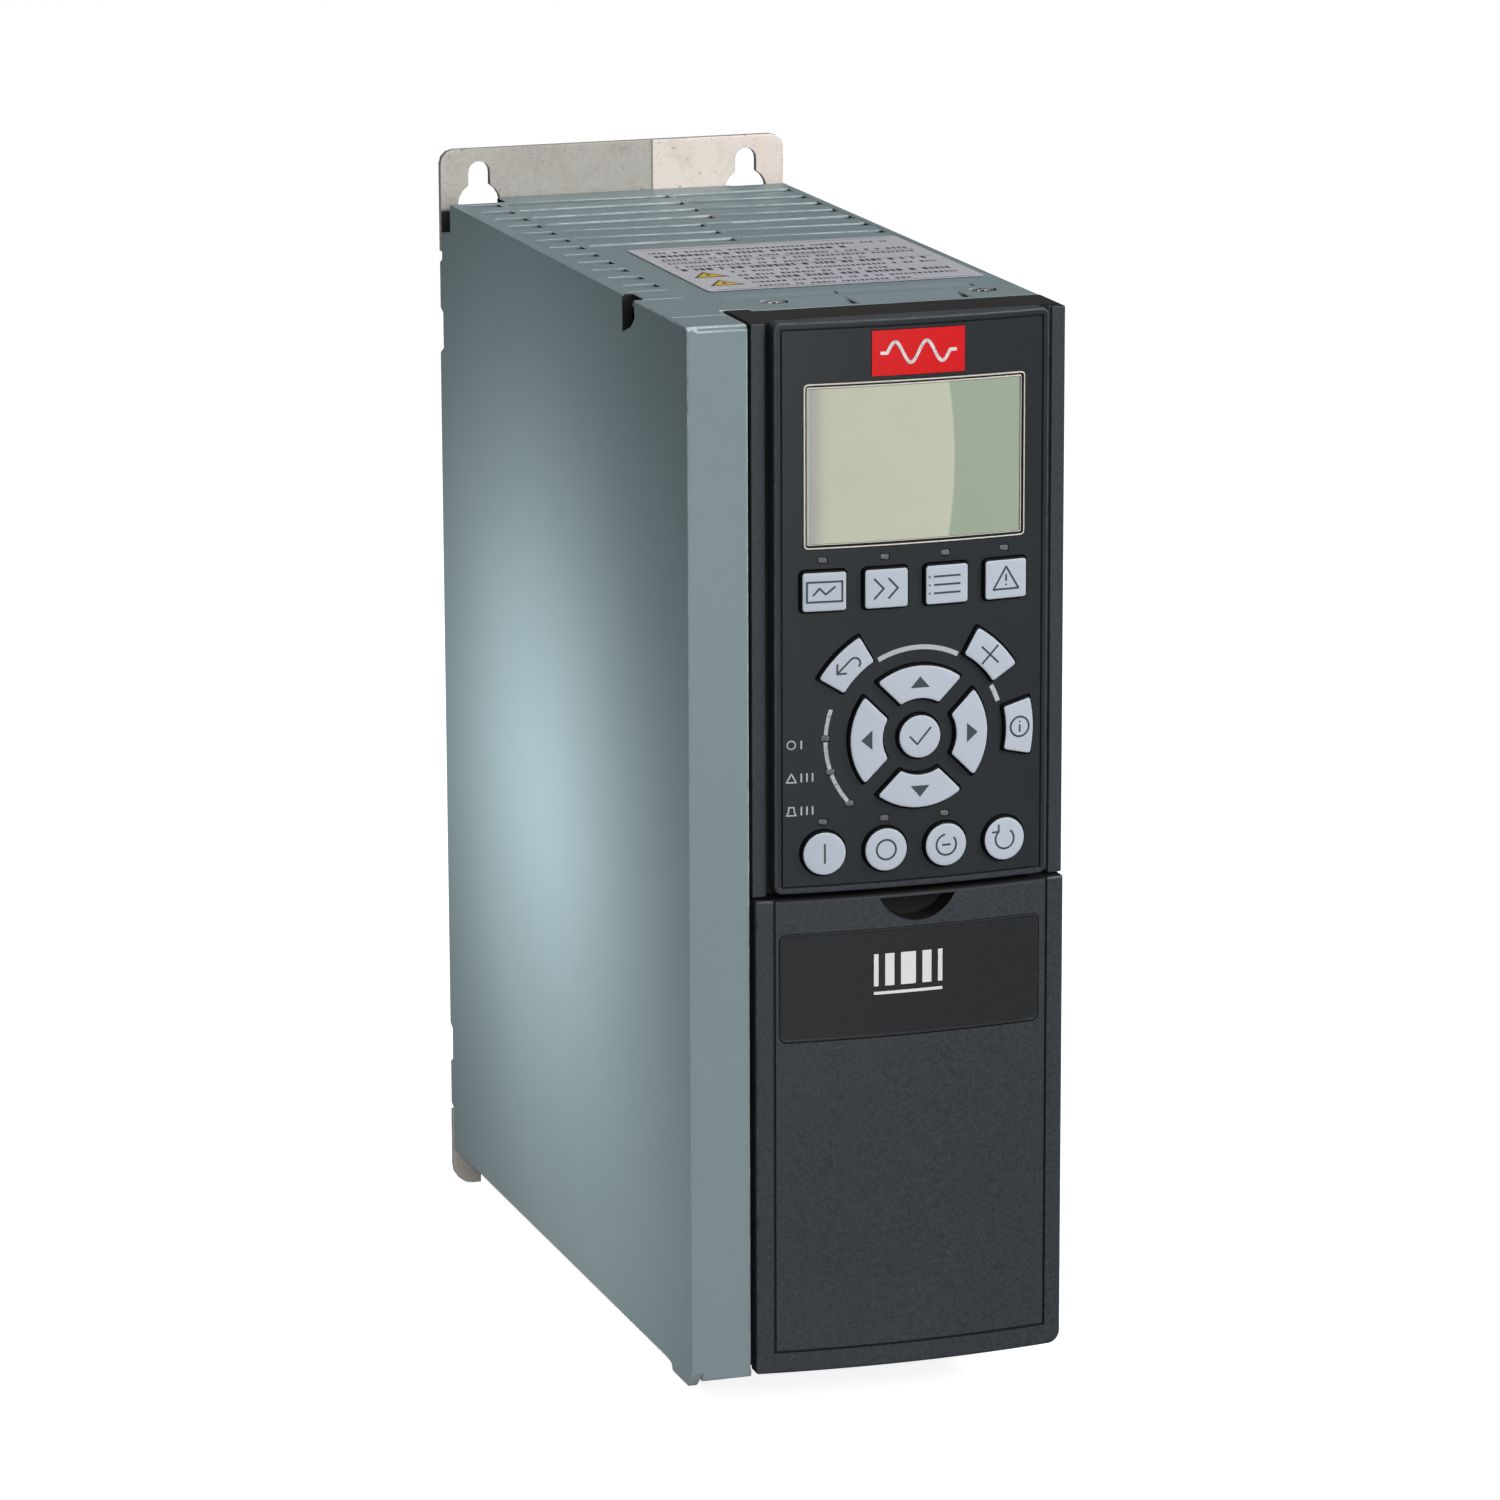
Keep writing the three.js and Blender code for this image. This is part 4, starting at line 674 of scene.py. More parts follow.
def lcd_face():
    """The display under its clear window: pale green, with a painted reflection: darker and greener to
    the right of a soft bowed line, a painted glint along that line, and greyer towards the left edge.
    """
    material, tree = new_material("lcd_face")
    where = put(tree, "SeparateXYZ", {0: object_place(tree)})
    x, z = where.outputs[0], where.outputs[2]
    middle = (WINDOW[2] + WINDOW[3]) / 2 * MM
    # painted reflection: a soft bowed boundary, darker and greener to its right, with a painted glint
    # along it
    bow = maths(tree, "MULTIPLY", maths(tree, "POWER", maths(tree, "SUBTRACT", z, middle), 2.0), -4.5)
    line = maths(tree, "SUBTRACT", maths(tree, "SUBTRACT", x, 0.0167), bow)
    painted_reflection = ranged(tree, line, -0.0004, 0.0004, smoothly=True)
    base = blended(tree, painted_reflection, linear(204, 207, 184), linear(166, 179, 159))
    painted_glint = ranged(tree, maths(tree, "ABSOLUTE", line), 0.0005, 0.0, 0.0, 0.6)
    base = blended(tree, painted_glint, base, linear(214, 220, 204))
    left = ranged(tree, x, (WINDOW[0] + 1.5) * MM, (WINDOW[0] + 6) * MM, smoothly=True)
    base = blended(tree, left, linear(176, 178, 172), base)
    base = use(tree, DRIFT, Color=base, Size=9.0, Amount=0.025).outputs["Color"]
    grain = use(tree, GRAIN, Size=0.35, Depth=0.01)
    rough = ranged(tree, grain.outputs["Speckle"], 0.0, 1.0, 0.3, 0.4)
    return dressed(material, base, rough, grain.outputs["Normal"], Coat_Weight=0.5,
                   Coat_Roughness=0.12)


def label_foil():
    """Matt silver label film with a faint mesh."""
    material, tree = new_material("label_foil")
    grain = use(tree, GRAIN, Size=0.3, Depth=0.01)
    base = use(tree, DRIFT, Color=linear(222, 223, 231), Size=25.0, Amount=0.05).outputs["Color"]
    rough = ranged(tree, grain.outputs["Speckle"], 0.0, 1.0, 0.3, 0.42)
    return dressed(material, base, rough, grain.outputs["Normal"], Metallic=0.25)


def circuit_board():
    """Green solder mask over copper tracks, with a weave beneath."""
    material, tree = new_material("circuit_board")
    where = object_place(tree)
    tracks = put(tree, "TexBrick", {"Vector": put(tree, "VectorRotate", {
        "Vector": where, "Angle": math.radians(90)}, rotation_type="X_AXIS").outputs[0],
        "Scale": 180.0, "Mortar Size": 0.02, "Color1": (1, 1, 1, 1), "Color2": (0.6, 0.6, 0.6, 1),
        "Mortar": (0, 0, 0, 1)})
    mask = ranged(tree, cloud(tree, where, 240.0, 5.0, 0.6), 0.48, 0.52)
    base = blended(tree, mask, linear(26, 84, 52), linear(42, 112, 66))
    base = blended(tree, ranged(tree, tracks.outputs["Fac"], 0.0, 1.0, 0.0, 0.5), base,
                   linear(96, 142, 84))
    weave = use(tree, GRAIN, Size=0.25, Depth=0.02)
    return dressed(material, base, ranged(tree, mask, 0.0, 1.0, 0.28, 0.42), weave.outputs["Normal"])


def wound_copper():
    """Enamelled copper wire lying in turns."""
    material, tree = new_material("copper_wire")
    turns = put(tree, "TexWave", {"Vector": object_place(tree), "Scale": 260.0, "Distortion": 0.4},
                bands_direction="DIAGONAL")
    base = use(tree, DRIFT, Color=linear(184, 104, 58), Size=6.0, Amount=0.12).outputs["Color"]
    base = blended(tree, ranged(tree, turns.outputs["Fac"], 0.0, 0.5, 0.6, 0.0), base,
                   linear(92, 44, 22))
    bump = put(tree, "Bump", {"Strength": 0.8, "Distance": 0.15 * MM, "Height": turns.outputs["Fac"]})
    rough = ranged(tree, turns.outputs["Fac"], 0.0, 1.0, 0.45, 0.28)
    return dressed(material, base, rough, bump.outputs[0], Metallic=0.8)


def laminations():
    """The stacked sheets of an iron core."""
    material, tree = new_material("core_steel")
    sheets = put(tree, "TexWave", {"Vector": object_place(tree), "Scale": 320.0, "Distortion": 0.15},
                 bands_direction="Y")
    base = use(tree, DRIFT, Color=linear(104, 106, 110), Size=10.0, Amount=0.15).outputs["Color"]
    base = blended(tree, ranged(tree, sheets.outputs["Fac"], 0.0, 0.4, 0.7, 0.0), base,
                   linear(46, 44, 44))
    bump = put(tree, "Bump", {"Strength": 0.6, "Distance": 0.08 * MM, "Height": sheets.outputs["Fac"]})
    rough = ranged(tree, sheets.outputs["Fac"], 0.0, 1.0, 0.6, 0.4)
    return dressed(material, base, rough, bump.outputs[0], Metallic=0.6)


def ink(name, colour, roughness):
    return moulded(name, colour, roughness, size=0.2, depth=0.01, edge=0.0, dust=0.0)


M = {
    # the paler edge colours are partly rubbed wear and partly a painted highlight on the rounded edges
    "grey": moulded("grey_housing", linear(131, 149, 153), 0.46, size=0.45, depth=0.03, drift=0.03,
                    edge=0.7, edge_wear_and_highlight_colour=linear(214, 224, 226), dust=0.05, speckle=0.03),
    "black": moulded("black_cover", linear(47, 54, 60), 0.5, size=0.75, depth=0.1, drift=0.04, edge=0.6,
                     edge_wear_and_highlight_colour=linear(104, 108, 112), dust=0.04, speckle=0.4),
    "panel": moulded("panel_face", linear(28, 35, 40), 0.42, size=0.3, depth=0.02, drift=0.03, edge=0.6,
                     edge_wear_and_highlight_colour=linear(92, 98, 104), dust=0.03, speckle=0.08),
    # near-black painted shade for grooves, holes, louvres, the latch notch and the frame's deep and
    # upward faces
    "groove": moulded("painted_recess_shade", linear(9, 10, 12), 0.7, size=0.4, edge=0.0, dust=0.0),
    "key": moulded("key_top", linear(194, 204, 216), 0.45, size=0.3, depth=0.015, drift=0.03,
                   edge=0.3, dust=0.03, speckle=0.03),
    "key_side": moulded("key_side", linear(24, 26, 30), 0.5, size=0.3, edge=0.1, dust=0.02),
    "legend": ink("key_legend", linear(62, 72, 80), 0.5),
    "print": ink("panel_print", linear(190, 196, 200), 0.45),
    "rim": moulded("window_rim", linear(236, 232, 220), 0.18, size=0.4, depth=0.01, edge=0.0,
                   dust=0.0, coat=0.6),
    "red": moulded("red_badge", linear(226, 10, 18), 0.35, size=0.4, depth=0.008, drift=0.02,
                   edge=0.1, dust=0.02, speckle=0.02),
    "white": ink("white_ink", linear(236, 236, 238), 0.4),
    "dark_label": moulded("dark_label", linear(25, 28, 30), 0.5, size=1.6, depth=0.05, drift=0.05,
                          edge=0.3, dust=0.03),
    "lens": moulded("lamp_lens", linear(104, 107, 110), 0.22, size=0.3, depth=0.02, edge=0.0,
                    coat=0.4),
    "cream": moulded("module_case", linear(216, 212, 200), 0.5, size=0.5, depth=0.04, drift=0.05),
    "sleeve": moulded("capacitor_sleeve", linear(30, 33, 40), 0.3, size=0.7, depth=0.02, coat=0.5),
    "green": moulded("terminal_green", linear(52, 132, 78), 0.48, size=0.4, depth=0.03, edge=0.4),
    "connector": moulded("connector_black", linear(30, 31, 34), 0.45, size=0.3, depth=0.03),
    "rubber": moulded("keypad_rubber", linear(70, 74, 78), 0.8, size=0.6, depth=0.03),
    "yellow": moulded("warning_yellow", linear(238, 196, 30), 0.4, size=0.3, depth=0.01, edge=0.0,
                      dust=0.0),
    "ink": ink("grey_ink", linear(52, 53, 64), 0.5),
    "steel": metal("bright_steel", linear(196, 198, 202), linear(120, 122, 126), 0.3),
    "aluminium": metal("drawn_aluminium", linear(206, 208, 212), linear(138, 140, 146), 0.36),
    "zinc": galvanised(),
    "lcd": lcd_face(),
    "foil": label_foil(),
    "board": circuit_board(),
    "copper": wound_copper(),
    "core": laminations(),
}


# ------------------------------------------------------------------ keys

def column_x(column):
    return PANEL_X + (column - 1.5) * KEY_PITCH


def menu_key(column):
    x = column_x(column)
    wide, high = MENU_KEY_HALF
    box = (x - wide, x + wide, MENU_KEY_Z - high, MENU_KEY_Z + high)
    return lambda by: grown(box, MENU_KEY_CORNER, by)


def round_key(x, z):
    return lambda by: circle(x, z, ROUND_KEY_RADIUS + by)


def arrow_key(direction):
    return lambda by: ring_piece(*ARROW_RING, direction - 45, direction + 45, by, 2)


def outer_key(start, end):
    return lambda by: ring_piece(*OUTER_RING, start, end, by)


KEYS = {
    "status_key": menu_key(0), "quick_menu_key": menu_key(1),
    "main_menu_key": menu_key(2), "alarm_log_key": menu_key(3),
    "back_key": outer_key(120.5, 148.5), "cancel_key": outer_key(32, 60),
    "info_key": outer_key(-13.5, 14.5), "ok_key": round_key(RING_X, RING_Z),
    "up_key": arrow_key(90), "down_key": arrow_key(270),
    "left_key": arrow_key(180), "right_key": arrow_key(0),
    "hand_on_key": round_key(column_x(0), MODE_KEY_Z), "off_key": round_key(column_x(1), MODE_KEY_Z),
    "auto_on_key": round_key(column_x(2), MODE_KEY_Z), "reset_key": round_key(column_x(3), MODE_KEY_Z),
}


def key_cap(name, outline):
    """A cap with a flange behind the panel, dark sides and a light, softly domed top."""
    bm = bmesh.new()
    flange = FRONT + PANEL_WALL + 0.25
    top = FRONT - KEY_PROUD
    rings = [(KEY_FLANGE, KEY_BACK), (KEY_FLANGE, flange + 0.15), (KEY_FLANGE - 0.15, flange),
             (0.12, flange), (0, flange - 0.12), (0, top + KEY_ROUND)]
    rings += rolled_edge(KEY_ROUND, top)
    rings += [(-KEY_ROUND - 0.5, top - 0.025), (-KEY_ROUND - 1.1, top - 0.045)]
    levels = add_rings(bm, [stand(outline(by), y) for by, y in rings])
    painted = {vert for level in levels[PAINTED_FROM_RING:] for vert in level}
    for face in bm.faces:
        face.material_index = 1 if all(v in painted for v in face.verts) else 0
    obj = finished(name + "_cap", bm, [M["key_side"], M["key"]])
    crown(obj, flat_until=2.0)
    smooth(obj)
    return show(obj, name + "_body", "key_plastic", name)


def printed(name, outlines, material, body, y, slot, height=0.05):
    """Ink or paint lying on the curved front: thin pads with their own outlines."""
    bm = bmesh.new()
    for outline in outlines:
        prism(bm, outline, y - height, y + 0.05)
    obj = finished(name, bm, [material])
    crown(obj)
    return show(obj, body, slot)


def pictogram_lines(kind):
    """Strokes of each legend about its key's middle: (points, closed)."""
    bars = [([(-2.6, z), (2.6, z)], False) for z in (1.6, 0, -1.6)]
    ticks = [([(-3.6, z), (-3.5, z)], False) for z in (1.6, 0, -1.6)]
    chevron = [(-1.1, 1.9), (0.7, 0), (-1.1, -1.9)]
    ring = circle(0, 0, 2.0, 20)
    return {
        "status": [([(-3.4, -1.9), (-3.4, 1.9), (3.4, 1.9), (3.4, -1.9)], True),
                   ([(-2.2, -0.6), (-1.0, 0.7), (0.2, -0.5), (2.0, 0.9)], False)],
        "quick": [([(x - 1.3, z) for x, z in chevron], False),
                  ([(x + 1.5, z) for x, z in chevron], False)],
        "main": bars + ticks,
        "alarm": [([(-2.6, -1.9), (2.6, -1.9), (0, 2.4)], True), ([(0, 0.9), (0, -0.3)], False),
                  ([(0, -1.0), (0, -1.1)], False)],
        "back": [([(-2.6, 0.4), (1.4, 0.4)], False), ([(-1.2, 1.7), (-2.6, 0.4), (-1.2, -0.9)], False),
                 (arc(1.4, -0.7, 1.1, 90, -80, 6), False)],
        "cancel": [([(-1.7, -1.7), (1.7, 1.7)], False), ([(-1.7, 1.7), (1.7, -1.7)], False)],
        "info": [(ring, True), ([(0, 0.3), (0, -1.0)], False), ([(0, 0.95), (0, 1.05)], False)],
        "ok": [([(-2.1, 0.1), (-0.6, -1.5), (2.2, 1.7)], False)],
        "hand": [([(0, -1.9), (0, 1.9)], False)],
        "off": [(ring, True)],
        "auto": [(arc(0, 0, 2.1, 100, 400, 18), False), ([(-0.8, 0), (0.8, 0)], False)],
        "reset": [(arc(0, 0, 2.0, 130, 410, 18), False),
                  ([(-1.3, 2.9), (-1.3, 1.55), (-2.7, 1.5)], False)],
    }[kind]


def legend(name, kind, x, z, degrees=0, scale=1.15, stroke=0.46):
    outlines = []
    for points, closed in pictogram_lines(kind):
        spots = turned([(a * scale, b * scale) for a, b in points], degrees, x, z)
        outlines += ribbon(spots, stroke, closed)
    return printed(name + "_legend", outlines, M["legend"], name + "_body", LEGEND_Y, "key_plastic")


def arrow_mark(name, degrees):
    mid = sum(ARROW_RING) / 2
    shape = turned([(-1.3, -2.3), (1.35, 0), (-1.3, 2.3)], degrees)
    x, z = turned([(mid, 0)], degrees)[0]
    outline = [(a + RING_X + x, b + RING_Z + z) for a, b in shape]
    return printed(name + "_legend", [outline], M["legend"], name + "_body", LEGEND_Y, "key_plastic")


def make_keys():
    for name, outline in KEYS.items():
        key_cap(name, outline)
    for column, (name, kind) in enumerate((("status_key", "status"), ("quick_menu_key", "quick"),
                                           ("main_menu_key", "main"), ("alarm_log_key", "alarm"))):
        legend(name, kind, column_x(column), MENU_KEY_Z, scale=1.2)
    for column, (name, kind) in enumerate((("hand_on_key", "hand"), ("off_key", "off"),
                                           ("auto_on_key", "auto"), ("reset_key", "reset"))):
        legend(name, kind, column_x(column), MODE_KEY_Z)
    legend("ok_key", "ok", RING_X, RING_Z)
    for name, kind, angle, lean in (("back_key", "back", 134.5, 44.5), ("cancel_key", "cancel", 46, 1),
                                    ("info_key", "info", 0.5, 0)):
        x, z = turned([(sum(OUTER_RING) / 2, 0)], angle)[0]
        legend(name, kind, RING_X + x, RING_Z + z, lean)
    for name, angle in (("up_key", 90), ("down_key", 270), ("left_key", 180), ("right_key", 0)):
        arrow_mark(name, angle)


# ------------------------------------------------------------------ control panel

def lens_spots():
    menu = [(column_x(i), MENU_LIGHT_Z) for i in range(4)]
    mode = [(column_x(i), MODE_LIGHT_Z) for i in range(3)]
    status = [arc(RING_X, RING_Z, 22, angle, angle, 1)[0] for angle in (178, 199, 222)]
    return menu + mode + status


def panel_outline(by):
    return grown((BEZEL_LOW.x, BEZEL_HIGH.x, BEZEL_LOW.z, BEZEL_HIGH.z), PANEL_CORNER, by)


def make_bezel():
    """The panel's moulding: rounded rim, thin groove, a hole for every key, lamp and the window."""
    bm = bmesh.new()
    rings = [(0, PANEL_BACK), (0, FRONT + PANEL_RIM)] + rolled_edge(PANEL_RIM, FRONT)
    add_rings(bm, [stand(panel_outline(by), y) for by, y in rings])
    obj = finished("panel_bezel_shape", bm, [M["panel"], M["black"], M["groove"]])
    tools = bmesh.new()
    prism(tools, panel_outline(-PANEL_SKIRT), FRONT + PANEL_WALL, PANEL_BACK + 1)
    for outline in KEYS.values():
        prism(tools, outline(KEY_CLEARANCE), FRONT - 2, FRONT + PANEL_WALL + 1)
    for x, z in lens_spots():
        wide, high = LENS_HALF
        prism(tools, rounded(x - wide, x + wide, z - high, z + high, 0.35), FRONT - 2, FRONT + 3)
    prism(tools, grown(WINDOW, 1, 0.2), FRONT - 2, FRONT + PANEL_WALL + 1)
    prism(tools, grown(BADGE, 0.2, 0.1), FRONT - 2, FRONT + 0.5)
    carve(obj, tools)
    groove = bmesh.new()
    outer, inner = panel_outline(-GROOVE_INSET), panel_outline(-GROOVE_INSET - GROOVE_WIDTH)
    frame_of(groove, outer, inner, FRONT - 1, FRONT + GROOVE_DEPTH)
    carve(obj, groove)
    soften(obj, EDGE_SOFTNESS, 2, 50)
    paint_border(obj)
    crown(obj)
    smooth(obj)
    return show(obj, "control_panel", "panel_plastic", "panel_bezel")


def paint_border(obj):
    """Gives the bezel's outer border the grain of the frame, and paints near-black shade into its
    groove and onto the walls of its holes.
    """
    def edge(spot):
        return min(spot.x - BEZEL_LOW.x, BEZEL_HIGH.x - spot.x, spot.z - BEZEL_LOW.z,
                   BEZEL_HIGH.z - spot.z)

    paint_faces(obj, 1, lambda spot, normal: edge(spot) < PANEL_BORDER)
    # painted shade: the groove and the hole walls get the near-black recess shade
    paint_faces(obj, 2, lambda spot, normal: edge(spot) > GROOVE_INSET - 0.1
                and SOFT_DEPTH < spot.y - FRONT < PANEL_WALL - 0.05)


def frame_of(bm, outer, inner, y0, y1):
    """A closed ring between two outlines with the same number of points."""
    rings = [stand(inner, y1), stand(outer, y1), stand(outer, y0), stand(inner, y0), stand(inner, y1)]
    add_rings(bm, rings, close_start=False, close_end=False)


def make_window():
    """Clear window over the display: a bright rim, a dark line, a thin inner rim and the face."""
    bm = bmesh.new()
    # material 1 is the near-black painted recess shade, on the walls and floors of the two narrow
    # grooves of the rim
    bands = [(0.0, -0.22, 0), (-0.12, -0.32, 0), (-0.36, -0.3, 0), (-0.42, 0.3, 1), (-0.84, 0.3, 1),
             (-0.88, -0.1, 0), (-1.08, -0.12, 0), (-1.14, 0.12, 1), (-1.3, 0.12, 2)]
    levels = add_rings(bm, [stand(grown(WINDOW, 1, 0), FRONT + PANEL_WALL + 0.6)]
                       + [stand(grown(WINDOW, 1, by), FRONT + y) for by, y, _ in bands])
    rank = {vert: i for i, level in enumerate(levels) for vert in level}
    for face in bm.faces:
        if min(rank[v] for v in face.verts):
            face.material_index = bands[max(rank[v] for v in face.verts) - 1][2]
    obj = finished("display_window_shape", bm, [M["rim"], M["groove"], M["lcd"]])
    crown(obj)
    smooth(obj)
    return show(obj, "control_panel", "window", "display_window")


def make_badge():
    bm = bmesh.new()
    rings = [(0, 0.35), (0, -0.1), (-0.06, -0.15)]
    add_rings(bm, [stand(grown(BADGE, 0.2, by), FRONT + y) for by, y in rings])
    obj = finished("badge_plate_shape", bm, [M["red"]])
    crown(obj)
    smooth(obj)
    show(obj, "control_panel", "red_badge", "badge_plate")
    x0, x1, z0, z1 = BADGE
    middle_x, middle_z = (x0 + x1) / 2, (z0 + z1) / 2
    wave = [(middle_x - 7.5 + 15 * i / 40, middle_z + 2.4 * math.sin(4 * math.pi * i / 40))
            for i in range(41)]
    ends = [[(wave[0][0] - 1.4, middle_z), wave[0]], [wave[-1], (wave[-1][0] + 1.4, middle_z)]]
    outlines = ribbon(wave, 0.75) + ribbon(ends[0], 0.75) + ribbon(ends[1], 0.75)
    return printed("badge_wave", outlines, M["white"], "control_panel", FRONT - 0.15, "red_badge",
                   0.03)


def make_prints():
    """Pale arcs round the ring, the status scale, and small marks beside the status lamps."""
    outlines = []
    for inner, outer, start, end in ((20, 21.1, 63, 117), (20, 21.1, 19, 29), (21.5, 22.4, 161, 175.5),
                                     (21.5, 22.4, 181, 196.5), (21.5, 22.4, 201.5, 219.5)):
        steps = max(3, int((end - start) / 3))
        points = arc(RING_X, RING_Z, (inner + outer) / 2, start, end, steps)
        outlines += ribbon(points, outer - inner)
    left = BEZEL_LOW.x + 2.6
    for z, kind in ((RING_Z - 0.4, "on"), (RING_Z - 8.1, "warn"), (RING_Z - 15.8, "alarm")):
        outlines += caption(kind, left, z)
    return printed("panel_prints", outlines, M["print"], "control_panel", FRONT - 0.01,
                   "panel_plastic", 0.03)


def caption(kind, x, z):
    """A small generic mark: a lamp, a triangle or a bell, with short bars after it."""
    marks = {
        "on": ribbon(circle(x + 1.2, z, 0.95, 14), 0.3, True),
        "warn": ribbon([(x + 0.1, z - 1), (x + 2.3, z - 1), (x + 1.2, z + 1)], 0.3, True),
        "alarm": ribbon([(x + 0.1, z - 1), (x + 2.3, z - 1), (x + 1.9, z - 0.3),
                         (x + 1.8, z + 0.9), (x + 0.6, z + 0.9), (x + 0.5, z - 0.3)], 0.3, True),
    }[kind]
    bars = {"on": 1, "warn": 3, "alarm": 3}[kind]
    for i in range(bars):
        marks += ribbon([(x + 3.5 + 1.3 * i, z - 0.9), (x + 3.5 + 1.3 * i, z + 0.9)], 0.36)
    return marks


# node, finish, material slot, width of the rounded edges
PANEL_PIECES = (
    ("panel_back", "black", "black_plastic", 0.4),
    ("lcd_module", "steel", "lcd_face", 0.3),
    ("panel_board", "board", "circuit_board", 0.15),
    ("keypad_mat", "rubber", "silicone", 0.4),
    ("panel_connector", "connector", "connector_plastic", 0.2),
    ("menu_lights", "lens", "light_pipe", 0.12),
    ("mode_lights", "lens", "light_pipe", 0.12),
    ("status_lights", "lens", "light_pipe", 0.12),
)


def make_panel():
    make_bezel()
    make_window()
    make_badge()
    make_prints()
    make_keys()
    for node, finish, slot, width in PANEL_PIECES:
        refined(node, M[finish], "control_panel", slot, width)


# ------------------------------------------------------------------ terminal cover

def cover_outline(by):
    x0, x1 = COVER_LOW.x - by, COVER_HIGH.x + by
    z0, z1 = COVER_LOW.z - by, COVER_HIGH.z + by
    corner, small = COVER_CORNER + by, 0.4 + max(by, -0.3)
    return (arc(x1 - small, z1 - small, small, 0, 90, 3)
            + arc(x0 + small, z1 - small, small, 90, 180, 3)
            + arc(x0 + small, z0 + small, small, 180, 270, 3)
            + arc(x1 - corner, z0 + corner, corner, 270, 360, 10))


def half_moon(by):
    half, depth = FINGER_NOTCH_WIDTH / 2, FINGER_NOTCH_DEPTH
    radius = (half ** 2 + depth ** 2) / (2 * depth)
    reach = math.degrees(math.asin(half / radius))
    z = COVER_HIGH.z - 1 - depth + radius
    return arc(RING_X, z, radius + by, 270 - reach, 270 + reach, 24)


def make_cover():
    """The lower cover: crowned skin, rolled rim, rear walls, hinge ears, grooves and recesses."""
    bm = bmesh.new()
    rings = [(0, FRONT + COVER_THICKNESS), (0, FRONT + COVER_RIM)] + rolled_edge(COVER_RIM, FRONT)
    add_rings(bm, [stand(cover_outline(by), y) for by, y in rings])
    obj = finished("terminal_cover_shape", bm, [M["black"], M["groove"]])
    rear = bmesh.new()
    start = FRONT + COVER_THICKNESS - 0.6
    x0, x1, z0, z1 = COVER_LOW.x, COVER_HIGH.x, COVER_LOW.z, COVER_HIGH.z
    block(rear, x0, x0 + COVER_SIDE, start, FRONT + 9.2, z0 + 6, z1 - 0.3)
    block(rear, x0, x0 + COVER_SIDE, start, COVER_WALL_BACK, z0 + 1, z0 + 6.5)
    block(rear, x1 - COVER_THICKNESS, x1, start, FRONT + 19.2, z0 + COVER_CORNER, z1 - 0.3)
    block(rear, x0 + 0.3, x1 - COVER_CORNER, start, COVER_WALL_BACK, z0, z0 + COVER_THICKNESS)
    block(rear, x0 + 0.3, x1 - 0.3, start, COVER_WALL_BACK, z1 - COVER_THICKNESS, z1)
    prism(rear, half_moon(1.8), start, COVER_WALL_BACK)
    carve(obj, rear, "UNION")
    carve(obj, hinge_parts(), "UNION")
    tools = bmesh.new()
    left, right, low = PANEL_X - COVER_LINE_X, PANEL_X + COVER_LINE_X, z0 + COVER_LINE_RISE
    half, bottom = COVER_LINE_HALF, FRONT + COVER_LINE_DEPTH
    for x in (left, right):
        block(tools, x - half, x + half, FRONT - 2, bottom, low - half, z1 + 1)
    block(tools, left, right, FRONT - 2, bottom, low - half, low + half)
    prism(tools, grown(COVER_LABEL, 1.5, 0.15), FRONT - 2, FRONT + LABEL_POCKET)
    prism(tools, half_moon(0), FRONT - 2, FRONT + 6.4)
    carve(obj, tools)
    soften(obj, EDGE_SOFTNESS, 2, 50)
    # painted shade: floors and walls of the grooves, label pocket and finger notch get the near-black
    # recess shade
    paint_faces(obj, 1, lambda spot, normal: spot.y - FRONT > 0.13 and normal.y < -0.8)
    paint_faces(obj, 1, lambda spot, normal: SOFT_DEPTH < spot.y - FRONT < 6.5 and normal.y < 0.8
                and abs(spot.x - PANEL_X) < COVER_LINE_X + 1 and spot.z > COVER_LOW.z + 4)
    crown(obj)
    smooth(obj)
    return show(obj, "cover", "black_plastic", "terminal_cover")


def hinge_parts():
    """Two ears with the pins that sit in the tray's brackets."""
    bm = bmesh.new()
    for bracket, side in ((PANEL_X - 28.7, -1), (PANEL_X + 25.8 + BRACKET_WIDTH, 1)):
        edge = bracket + side * 0.3
        x0, x1 = sorted((edge, edge + side * 2.5))
        ear = []
        for degrees in range(0, 181, 15):
            turn = math.radians(degrees)
            ear.append((HINGE_Y + HINGE_EAR * math.sin(turn), HINGE_Z - HINGE_EAR * math.cos(turn)))
        ear += [(FRONT + 2, HINGE_Z + HINGE_EAR), (FRONT + 2, HINGE_Z - HINGE_EAR)]
        add_rings(bm, [[(x, y, z) for y, z in ear] for x in (x0, x1)])
        root, tip = edge + side, edge - side * 3.5
        profile = [(HINGE_PIN, root), (HINGE_PIN, tip + side * 0.4), (HINGE_PIN - 0.4, tip)]
        lathe(bm, profile, (0, HINGE_Y, HINGE_Z), "x", 24)
    return bm


def make_cover_label():
    bm = bmesh.new()
    rings = [(0, 0.45), (0, 0.0), (-0.15, -0.05), (-0.55, -0.05), (-0.65, 0.06)]
    add_rings(bm, [stand(grown(COVER_LABEL, 1.5, by), FRONT + y) for by, y in rings])
    obj = finished("cover_label_shape", bm, [M["dark_label"]])
    crown(obj)
    smooth(obj)
    show(obj, "cover", "dark_label", "cover_label")
    return printed("cover_mark", pulse_mark(), M["white"], "cover", FRONT + 0.04, "dark_label", 0.03)


